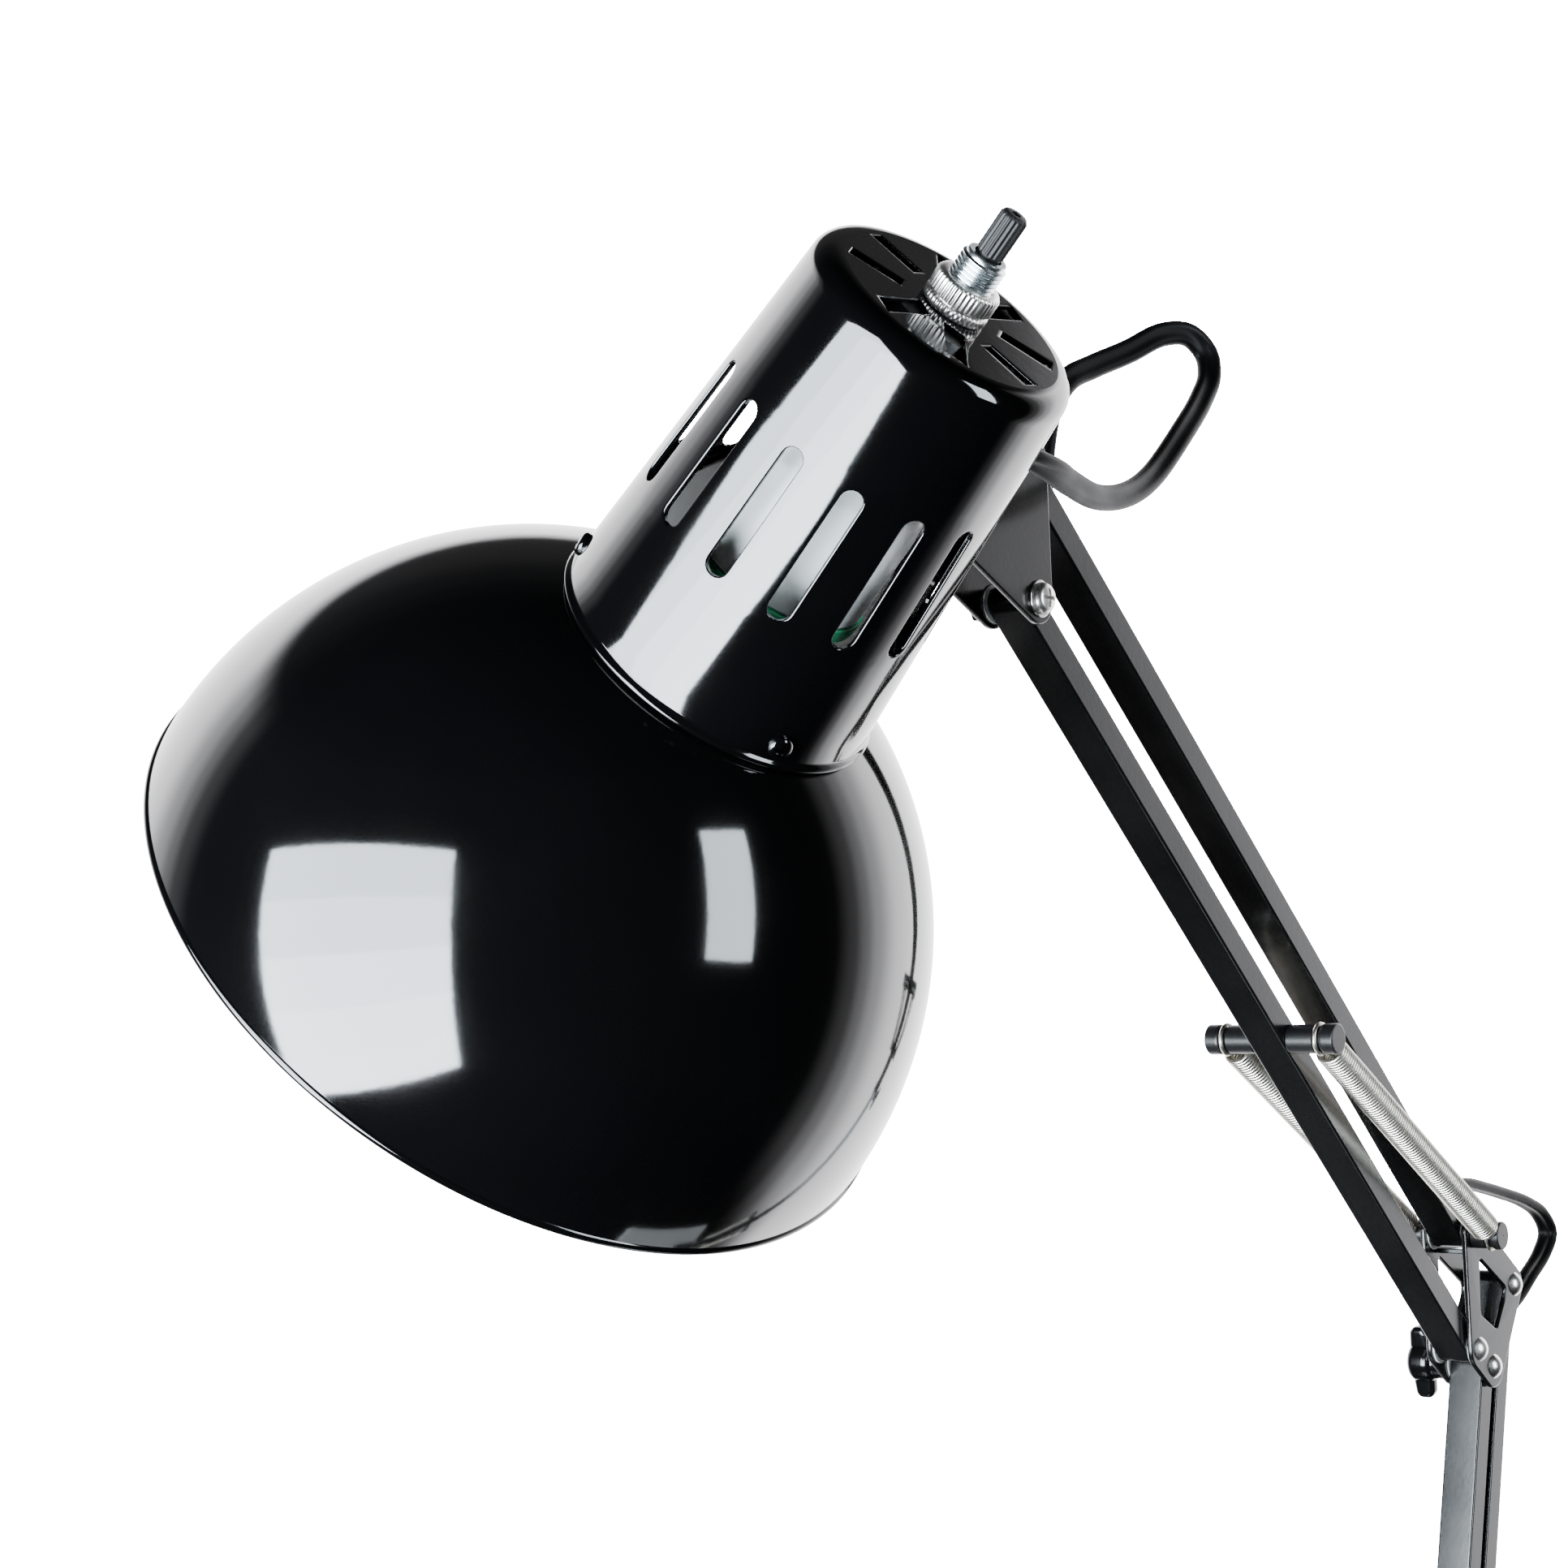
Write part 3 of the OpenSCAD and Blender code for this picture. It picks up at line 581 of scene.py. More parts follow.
def mains_plug():
    at = shift(PLUG_AT)
    body = Shape()
    outline = eased([(-14, -11), (6, -11), (14, -6.5), (14, 6.5), (6, 11), (-14, 11)], 3.5, 5, closed=True)
    body.add(slab(spread_loop(outline, 3), [], 0.2, 14, 2.2, 5), at)
    for k in range(3):
        body.add(box_part((-6 + 4 * k, -8, 13.6), (-4.4 + 4 * k, 8, 14.4), 0.25), at)
    relief = [(0, 0), (4.9, 0), (4.7, 1.5), (4.2, 1.9), (4.5, 3), (4, 3.4), (4.3, 4.6), (3.8, 5), (4, 6.4),
              (3.4, 8), (0, 8)]
    body.add(lathe(relief, 28, 0.3), at @ shift((13.6, 0, 7.2)) @ turned(pi / 2, "Y"))
    o = piece(body, "plug_body", "clamp", VINYL, ("mains_plug",))
    pins = Shape()
    for y in (-6.35, 6.35):
        blade = [(0, -3.1), (-15, -3.1), (-17.4, -1.6), (-17.4, 1.6), (-15, 3.1), (0, 3.1)]
        hole = disc_loop(-13.5, 0, 1.6, 20)
        part = slab([(x, z) for x, z in reversed(blade)], [hole], -0.75, 0.75, 0.2)
        pins.add(part, at @ shift((-13.6, y, 7.2)) @ turned(pi / 2, "X"))
    p = piece(pins, "plug_blades", "clamp", BRASS, ())
    return [o, p]


head_cord()
elbow_cord()
mains_cord()


# ---- head
CAP_R, NECK_R, NECK_LEN, EDGE_R, SHEET = 30.0, 36.5, 92.0, 5.0, 1.0
SEGMENTS = 112  # round the housing
CELL = 2 * pi / SEGMENTS
SLOT_FIRST, SLOT_CELLS = 39.07, 8  # turn of the first slot, and segments of the sector round each slot
SLOT_MID, SLOT_HALF, SLOT_W, BAND = 46.25, 13.25, 5.0, 19.0
WALL_MEAN = 33  # radius that turns a distance round the wall into an angle
VENT_RING = 6.6  # the cap is plain inside this radius


def wall_r(s):
    return CAP_R + (NECK_R - CAP_R) * (s - EDGE_R) / (NECK_LEN - EDGE_R)


def on_wall(angle, s, depth):
    r = wall_r(s) - depth
    return (r * cos(angle), r * sin(angle), s)


def patch_loops(outline, hole_at, surface, deep, lip=0.35):
    """Loops from a patch's outline down into its hole and back out on the inside."""
    loops = [[surface(p, 0) for p in outline]]
    wide = [hole_at(p, lip) for p in outline]
    for t in (0.4, 0.72, 0.9):
        loops.append([surface(tuple(Vector(a).lerp(Vector(b), t)), 0) for a, b in zip(outline, wide)])
    for k in range(5):
        a = pi / 2 * k / 4
        loops.append([surface(hole_at(p, lip * (1 - sin(a))), lip * (1 - cos(a))) for p in outline])
    loops.append([surface(hole_at(p, 0), deep) for p in outline])
    loops.append([surface(tuple(Vector(a).lerp(Vector(b), 0.5)), deep) for a, b in zip(outline, wide)])
    loops.append([surface(p, deep) for p in outline])
    return loops


def unit_outline(across, along):
    """Points round the square from -1 to 1, anticlockwise from its low corner."""
    a = [(-1 + 2 * i / across, -1) for i in range(across)]
    b = [(1, -1 + 2 * i / along) for i in range(along)]
    c = [(1 - 2 * i / across, 1) for i in range(across)]
    d = [(-1, 1 - 2 * i / along) for i in range(along)]
    return a + b + c + d


def slot_sector(mid):
    """The housing's wall round one slot, on both sides of the sheet."""
    half = CELL * SLOT_CELLS / 2 * WALL_MEAN

    def hole_at(p, grow):
        u, v = p[0] / half, p[1] / BAND
        r = SLOT_W / 2 + grow
        if abs(u) > 0.999:
            return (math.copysign(r, u), v * SLOT_HALF)
        a = u * pi / 2
        return (r * sin(a), math.copysign(SLOT_HALF + r * cos(a), v))

    def surface(p, depth):
        return on_wall(mid + p[0] / WALL_MEAN, SLOT_MID + p[1], depth)

    outline = [(u * half, v * BAND) for u, v in unit_outline(SLOT_CELLS, 16)]
    return rings(patch_loops(outline, hole_at, surface, SHEET))


def plain_sector(start, cells, depth):
    rows = [[on_wall(start + CELL * i, SLOT_MID + BAND * (-1 + j / 8), depth) for i in range(cells + 1)]
            for j in range(17)]
    return rings(rows, closed=False)


def vent_sector(k):
    """An eighth of the cap with its vent; two pairs of vents are wide and two narrow and splayed."""
    wide = k % 4 < 2
    turn = -radians(45) * k
    width, r0, r1 = (4.6, 9.8, 23.2) if wide else (3.4, 11.6, 23.4)
    lean = 0.0 if wide else radians(8.5) * (-1 if k % 4 == 2 else 1)
    lip = 0.3
    square = unit_outline(14, 8)

    def spot(p):
        rho = VENT_RING + (CAP_R - EDGE_R - VENT_RING) * (p[1] + 1) / 2
        return (rho * cos(radians(22.5) * p[0]), rho * sin(radians(22.5) * p[0]))

    def vent(p, grow):
        mid = (r0 + r1) / 2
        across, along = p[0] * (width / 2 + grow), mid + p[1] * ((r1 - r0) / 2 + grow)
        along -= 0.12 * across * (3 if wide else 1)
        x, y = (along - mid), across
        return (mid + x * cos(lean) - y * sin(lean), x * sin(lean) + y * cos(lean))

    def on_cap(q, depth):
        return (q[0] * cos(turn) - q[1] * sin(turn), q[0] * sin(turn) + q[1] * cos(turn), depth)

    rows = [[on_cap(spot(p), 0) for p in square]]
    for t in (0.5, 0.85):
        rows.append([on_cap(tuple(Vector(spot(p)).lerp(Vector(vent(p, lip)), t)), 0) for p in square])
    for j in range(4):
        a = pi / 2 * j / 3
        rows.append([on_cap(vent(p, lip * (1 - sin(a))), lip * (1 - cos(a))) for p in square])
    rows.append([on_cap(vent(p, 0), SHEET) for p in square])
    rows.append([on_cap(spot(p), SHEET) for p in square])
    return flipped(rings(rows))


def turned_band(profile, start):
    """Surface of revolution on the housing's own segments, from (radius, z) points."""
    return rings([[(r * cos(start + CELL * i), r * sin(start + CELL * i), s) for i in range(SEGMENTS)]
                  for r, s in profile])


def housing():
    shape = Shape()
    first = radians(SLOT_FIRST) - CELL * SLOT_CELLS / 2
    edge = first
    # Eight slots, a plain part, four slots and the plain part by the stud
    for slotted, cells in [(True, SLOT_CELLS)] * 8 + [(False, 5)] + [(True, SLOT_CELLS)] * 4 + [(False, 11)]:
        if slotted:
            shape.add(slot_sector(edge + CELL * cells / 2))
        else:
            shape.add(plain_sector(edge, cells, 0))
            shape.add(flipped(plain_sector(edge, cells, SHEET)))
        edge += CELL * cells
    arc = [radians(90 - 10 * k) for k in range(10)]
    top, low, end = SLOT_MID - BAND, SLOT_MID + BAND, NECK_LEN
    centre, inner = CAP_R - EDGE_R, EDGE_R - SHEET
    shape.add(turned_band(
        [(centre + EDGE_R * cos(a), EDGE_R - EDGE_R * sin(a)) for a in arc]
        + [(wall_r(s), s) for s in [EDGE_R + (top - EDGE_R) * k / 6 for k in range(1, 7)]], first))
    shape.add(flipped(turned_band(
        [(centre + inner * cos(a), EDGE_R - inner * sin(a)) for a in arc]
        + [(wall_r(top) - SHEET, top)], first)))
    shape.add(turned_band(
        [(wall_r(s), s) for s in [low + (end - 2.2 - low) * k / 6 for k in range(7)]]
        + [(NECK_R + 0.05, end - 1.7), (NECK_R + 0.5, end - 1.25), (NECK_R + 0.85, end - 0.85),
           (NECK_R + 0.9, end - 0.4), (NECK_R + 0.7, end - 0.1), (NECK_R + 0.3, end), (NECK_R - SHEET, end),
           (wall_r(low) - SHEET, low)], first))
    for k in range(8):
        shape.add(vent_sector(k))
    for depth, turn_over in ((0, False), (SHEET, True)):
        part = turned_band([(5.0, depth), (VENT_RING, depth)], -radians(22.5))
        shape.add(flipped(part) if turn_over else part)
    o = piece(moved(shape, HEAD), "lamp_housing", "head", ENAMEL, ("neck_housing",), sharp=50)
    fix_normals(o)


def fix_normals(o):
    bm = bmesh.new()
    bm.from_mesh(o.data)
    bmesh.ops.recalc_face_normals(bm, faces=bm.faces)
    shade_smooth(bm, 50)
    bm.to_mesh(o.data)
    bm.free()


def shade():
    centre, height, radius, length = 180.0, 95.0, 92.0, 178.0
    outer, inner = [], []
    first, last = math.acos((centre - NECK_LEN - 0.4) / height), math.acos((centre - length) / height)
    for k in range(61):
        a = first + (last - first) * (k / 60)
        r, s = radius * sin(a), centre - height * cos(a)
        outer.append((r, s))
        inner.append((r - 0.95 * sin(a), s + 0.95 * cos(a)))
    rim = [(91.4 + 1.15 * cos(a), 178 + 1.15 * sin(a)) for a in [radians(-70 + 25 * j) for j in range(13)]]
    neck = [(31.5, 92.0), (33.5, 91.9)]
    shape = Shape()
    shape.add(lathe(neck + outer + rim, 192), HEAD)
    shape.add(lathe([(91.0, 177.0)] + inner[::-1] + [(31.5, 93.2)], 192), HEAD, 1)
    o = piece(shape, "bell_shade", "head", [ENAMEL, LINING], ("shade",), sharp=60)
    fix_normals(o)


def screw_head(r, h):
    """Pan head; z points out of the head."""
    profile = [(0, -0.5), (r, -0.5), (r, h * 0.45), (r * 0.8, h * 0.85), (r * 0.3, h), (0, h)]
    return Shape().add(lathe(profile, 36, 0.5))


def cross_cut(r, h):
    a, b = r * 0.58, r * 0.12
    loop = [(a, -b), (a, b), (b, b), (b, a), (-b, a), (-b, b), (-a, b), (-a, -b), (-b, -b), (-b, -a), (b, -a),
            (b, -b)]
    return Shape().add(slab(loop, [], h * 0.4, h + 2, 0.02))


def moved(shape, at):
    return Shape().add((shape.verts, shape.faces), at)


def radial_at(turn_deg, s, r):
    """Frame on the housing's wall, z pointing out, at a turn from the arm's side."""
    return HEAD @ turned(radians(turn_deg), "Z") @ shift((r, 0, s)) @ turned(pi / 2, "Y")


def shade_screws():
    for k in range(3):
        at = radial_at(115 + 120 * k, 87, wall_r(87))
        mesh = carved(moved(screw_head(2.7, 1.5), at), moved(cross_cut(2.7, 1.5), at), f"shade_screw_{k + 1}")
        place(mesh, f"shade_screw_{k + 1}", "head", ENAMEL, ("shade_rivets",) if k == 0 else ())


def switch():
    """Threaded bushing, knurled ring nut and splined shaft."""
    z = 10.9
    profile = [(4.55, 10.9)]
    while z > -11.9:
        profile += [(4.4, z), (4.97, z - 0.4), (4.97, z - 0.6), (4.4, z - 1.0)]
        z -= 1.0
    profile += [(4.4, -12.6), (4.2, -13), (3.05, -13), (3.05, 10.9)]
    piece(Shape().add(lathe(profile, 48), HEAD), "switch_thread", "head", ZINC, ("switch_bushing",), 30)
    teeth = 42
    n = teeth * 6
    rows = []
    for z, grow in ((-0.05, -2.2), (-0.05, -0.5), (-0.45, 0.0), (-1.9, 0.0), (-2.15, -0.55), (-2.6, -0.55),
                    (-2.85, 0.0), (-6.1, 0.0), (-6.7, -0.5), (-6.95, -1.1), (-6.95, -2.2)):
        row = []
        for i in range(n):
            a = 2 * pi * i / n
            bite = 0.0 if grow else 0.3 * (0.5 - 0.5 * cos(teeth * a))
            r = 7.15 + grow - bite
            row.append((r * cos(a), r * sin(a), z))
        rows.append(row)
    piece(Shape().add(flipped(rings(rows)), HEAD), "knurled_nut", "head", RIVET, ("ring_nut",), 60)
    splines = 18
    n = splines * 6
    rows = []
    for z, base, deep in ((10, 0.0, 0), (10, 2.6, 0), (-13.4, 2.6, 0), (-13.9, 3.0, 0.28), (-22.2, 3.0, 0.28),
                          (-22.9, 2.5, 0.15), (-23.0, 2.2, 0), (-23.0, 1.0, 0), (-22.6, 0.9, 0), (-22.6, 0, 0)):
        row = []
        for i in range(n):
            a = 2 * pi * i / n
            r = base - deep * (0.5 - 0.5 * cos(splines * a)) ** 0.7
            row.append((r * cos(a), r * sin(a), z))
        rows.append(row)
    fix_normals(piece(Shape().add(flipped(rings(rows)), HEAD), "splined_shaft", "switch", SHAFT,
                      ("switch_shaft",), 50))


def bulb():
    base = [(0, 13), (4.4, 13), (5, 13.6), (6.2, 15.8), (11.9, 18.2)]
    z = 19.0
    while z < 34:
        base += [(12.1, z), (12.9, z + 1.2), (12.9, z + 1.7), (12.1, z + 2.9)]
        z += 3.2
    base += [(12.9, 35.6), (12.9, 37), (0, 37)]
    piece(Shape().add(lathe(base[::-1], 56, 0.3), HEAD), "bulb_screw_base", "head", NICKEL, ("bulb_base",), 50)
    body = [(0, 37.2), (13.2, 37.2), (13.2, 32.2), (15, 32), (17.6, 35.2), (19.9, 40), (20.5, 46), (20.5, 66.6),
            (20.1, 67), (0, 67)]
    fix_normals(piece(Shape().add(lathe(body, 72, 1.0), HEAD), "ballast_housing", "head", BULB_WHITE,
                      ("bulb_ballast",), 50))
    collar = [(0, 67.1), (20.9, 67.1), (21.1, 67.5), (21.1, 70.2), (20.3, 71), (0, 71)]
    fix_normals(piece(Shape().add(lathe(collar, 72, 0.4), HEAD), "ballast_collar", "head", BULB_GREEN,
                      ("bulb_ring",), 50))
    spiral = []
    turns, r, z0, z1 = 2.35, 16.5, 78.5, 112.5
    for k in range(97):
        t = k / 96
        a = 2 * pi * turns * t
        spiral.append(Vector((r * cos(a), r * sin(a), z0 + (z1 - z0) * t)))
    start = [Vector((r, -9.5, 69)), Vector((r + 0.1, -6, 73)), Vector((r, -2.2, 76.8))]
    a_end = 2 * pi * turns
    tip = []
    for k in range(1, 8):
        t = k / 7
        a = a_end + 0.9 * t
        rr = r * (1 - t) ** 0.85 if t < 1 else 0
        tip.append(Vector((rr * cos(a), rr * sin(a), z1 + 5.0 * math.sin(pi / 2 * t))))
    strand = start + spiral + tip
    other = [Vector((-p.x, -p.y, p.z)) for p in reversed(strand[:-1])]
    path = smooth_path(strand + other, 1.6)
    tube = swept(path, disc_loop(0, 0, 4.3, 18), (0, 0, 1), follow=True)
    piece(Shape().add(tube, HEAD), "spiral_tube", "head", BULB_GLASS, ("bulb_tube",), 60)


def grommet():
    """Rubber ring where the cord leaves the housing."""
    ring = [(3.5, -4), (5.5, -4), (5.5, -2), (4.3, -1.4), (4.3, 1.0), (5.6, 1.4), (5.3, 3.0), (4.2, 3.6),
            (3.5, 3.4)]
    at = radial_at(25, 25, wall_r(25))
    fix_normals(piece(Shape().add(lathe(ring, 40, 0.4, closed=True), at), "housing_grommet", "head", RUBBER,
                      ("cord_grommet",)))


housing()
shade()
shade_screws()
switch()
bulb()
grommet()


# ---- arms and brackets
def along(p, angle):
    return shift(p) @ turned(-angle, "Y")


def bar(name, body, node, start, angle, length, slots=()):
    r = 3.75
    loop = ([(-r * sin(radians(180 * k / 20)), r * cos(radians(180 * k / 20))) for k in range(21)]
            + [(length + r * sin(radians(180 * k / 20)), -r * cos(radians(180 * k / 20))) for k in range(21)])
    shape = Shape()
    part, at = in_plane(-5, 5, spread_loop(loop, 30), (), 0.6)
    shape.add(part, along(start, angle) @ at)
    if slots:
        cut = Shape()
        for x in slots:
            outline = eased([(x - 7, -3.5), (x + 7, -3.5), (x + 7, 3.5), (x - 7, 3.5)], 3, 4, closed=True)
            cut.add(slab(outline, [], -6, -1.4, 0.05), along(start, angle))
        mesh = carved(shape, cut, name)
    else:
        mesh = to_mesh(shape, name)
    place(mesh, name, body, ARM, (node,))


def cross_pin(name, body, node, p, r, half):
    shape = Shape().add(rod(r, -half + 1.6, half - 1.6, 0.4), shift(p) @ ACROSS)
    piece(shape, name, body, NICKEL, (node,))


def sleeves(name, body, node, p, bore, start, half, groove):
    shape = Shape()
    for side in (1, -1):
        at = shift(p) @ ACROSS @ (Matrix() if side > 0 else turned(pi, "X"))
        profile = [(bore, start), (3.75, start), (3.75, groove - 1), (3.2, groove - 0.9), (3.2, groove + 0.9),
                   (3.75, groove + 1), (3.95, groove + 1.6), (3.95, half - 0.2), (3.6, half), (0, half),
                   (0, half - 1.5), (bore, half - 1.5)]
        shape.add(lathe(profile, 40, 0.3, closed=True), at)
    fix_normals(piece(shape, name, body, PLASTIC, (node,)))


def coil_spring(shape, a, b):
    """Close-wound spring between two posts, with a round eye at each end."""
    R, w = 3.65, 0.56
    d = (b - a).normalized()
    span = (b - a).length
    u = Vector((0, 1, 0))
    u = (u - u.dot(d) * d).normalized()
    v = d.cross(u)
    z0, z1 = 5.2, span - 5.2
    turns = int((z1 - z0) / 1.16)
    per = 18
    path = []
    for i in range(turns * per + 1):
        t = 2 * pi * i / per
        path.append(a + d * (z0 + (z1 - z0) * i / (turns * per)) + (u * cos(t) + v * sin(t)) * R)
    head = [a + v * -3.8, a + d * 2.2 + v * -3.3 + u * 0.5, a + d * 4.0 + v * -1.0 + u * 2.2]
    tail = [b - d * 4.0 - v * -1.0 + u * 2.2, b - d * 2.2 + v * 3.3 + u * 0.5, b + v * 3.8]
    shape.add(swept(smooth_path(head + path[:4], 0.7), disc_loop(0, 0, w, 8), d, follow=True))
    shape.add(swept(path, disc_loop(0, 0, w, 8), d))
    shape.add(swept(smooth_path(path[-4:] + tail, 0.7), disc_loop(0, 0, w, 8), d, follow=True))
    for p in (a, b):
        eye = [(3.8 + w * cos(t), w * sin(t)) for t in [2 * pi * k / 10 for k in range(10)]]
        shape.add(lathe(eye, 40, closed=True), shift(p) @ ACROSS)


def springs(name, node, p, y0, q, y1):
    shape = Shape()
    for side in (-1, 1):
        coil_spring(shape, p + Vector((0, side * y0, 0)), q + Vector((0, side * y1, 0)))
    o = piece(shape, name, None, SPRING, (node,), 60)
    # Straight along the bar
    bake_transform(o)


def plate_face(p, near=False):
    """Frame at p on the outer face of a bracket's far or near plate, z pointing away from the arm."""
    return shift(p) @ ACROSS @ (turned(pi, "X") if near else Matrix()) @ shift((0, 0, PLATE_OUT))


def rivets(name, body, node, points):
    shape = Shape()
    for p in points:
        shape.add(rod(2, -7, 7, 0.1), shift(p) @ ACROSS)
        shape.add(dome(3.4, 1.9, 36), plate_face(p))
        shape.add(dome(3.4, 1.9, 36), plate_face(p, near=True))
    piece(shape, name, body, RIVET, (node,))


def washers(name, body, node, points):
    shape = Shape()
    for p in points:
        for y in (-5.25, 5.25):
            shape.add(ring_part(2.05, 4.6, y - 0.2, y + 0.2, 0.08, 36), shift(p) @ ACROSS)
    fix_normals(piece(shape, name, body, WASHER, (node,)))


def xz(p, r):
    return (p.x, p.z, r)


def hole(p, r=2.02):
    return disc_loop(p.x, p.z, r, 28)


def arms():
    bar("lower_front_tube", "lower_front", "lower_front_bar", FOOT_LOW, pi / 2 - LEAN, LOWER_LEN)
    bar("lower_rear_tube", "lower_rear", "lower_rear_bar", FOOT_HIGH, pi / 2 - LEAN, LOWER_LEN, (34, 288))
    bar("upper_front_tube", "upper_front", "upper_front_bar", ELBOW_UP, pi - RISE, UPPER_LEN)
    bar("upper_rear_tube", "upper_rear", "upper_rear_bar", ELBOW_SPRING, pi - RISE, UPPER_LEN, (20, 274))
    cross_pin("base_cross_pin", "foot", "base_spring_post", BASE_SPRING, 2, 15.5)
    cross_pin("lower_cross_pin", "lower_front", "lower_crossbar", LOWER_CROSS, 2.5, 18.5)
    cross_pin("elbow_cross_pin", "elbow", "elbow_spring_post", ELBOW_SPRING, 2, 15.5)
    cross_pin("upper_cross_pin", "upper_front", "upper_crossbar", UPPER_CROSS, 2.5, 18.5)
    sleeves("base_sleeves", "foot", "base_spring_bushes", BASE_SPRING, 2, PLATE_OUT, 15.5, 12)
    sleeves("lower_cross_sleeves", "lower_front", "lower_crossbar_bushes", LOWER_CROSS, 2.5, 5, 18.5, 13.5)
    sleeves("elbow_sleeves", "elbow", "elbow_spring_bushes", ELBOW_SPRING, 2, PLATE_OUT, 15.5, 12)
    sleeves("upper_cross_sleeves", "upper_front", "upper_crossbar_bushes", UPPER_CROSS, 2.5, 5, 18.5, 13.5)
    springs("lower_coil_springs", "lower_springs", BASE_SPRING, 12, LOWER_CROSS, 13.5)
    springs("upper_coil_springs", "upper_springs", ELBOW_SPRING, 12, UPPER_CROSS, 13.5)
    rivets("foot_rivets", "foot", "base_rivets", [FOOT_LOW, FOOT_HIGH])
    rivets("elbow_plate_rivets", "elbow", "elbow_rivets", [ELBOW_UP, ELBOW_REAR])
    rivets("head_plate_rivet", "head_bracket", "head_rear_rivet", [HEAD_HIGH])
    washers("foot_washers", "foot", "base_washers", [FOOT_LOW, FOOT_HIGH])
    washers("elbow_plate_washers", "elbow", "elbow_washers", [ELBOW_UP, ELBOW_FRONT, ELBOW_REAR, ELBOW_SPRING])
    washers("head_plate_washers", "head_bracket", "head_washers", [HEAD_LOW, HEAD_HIGH])


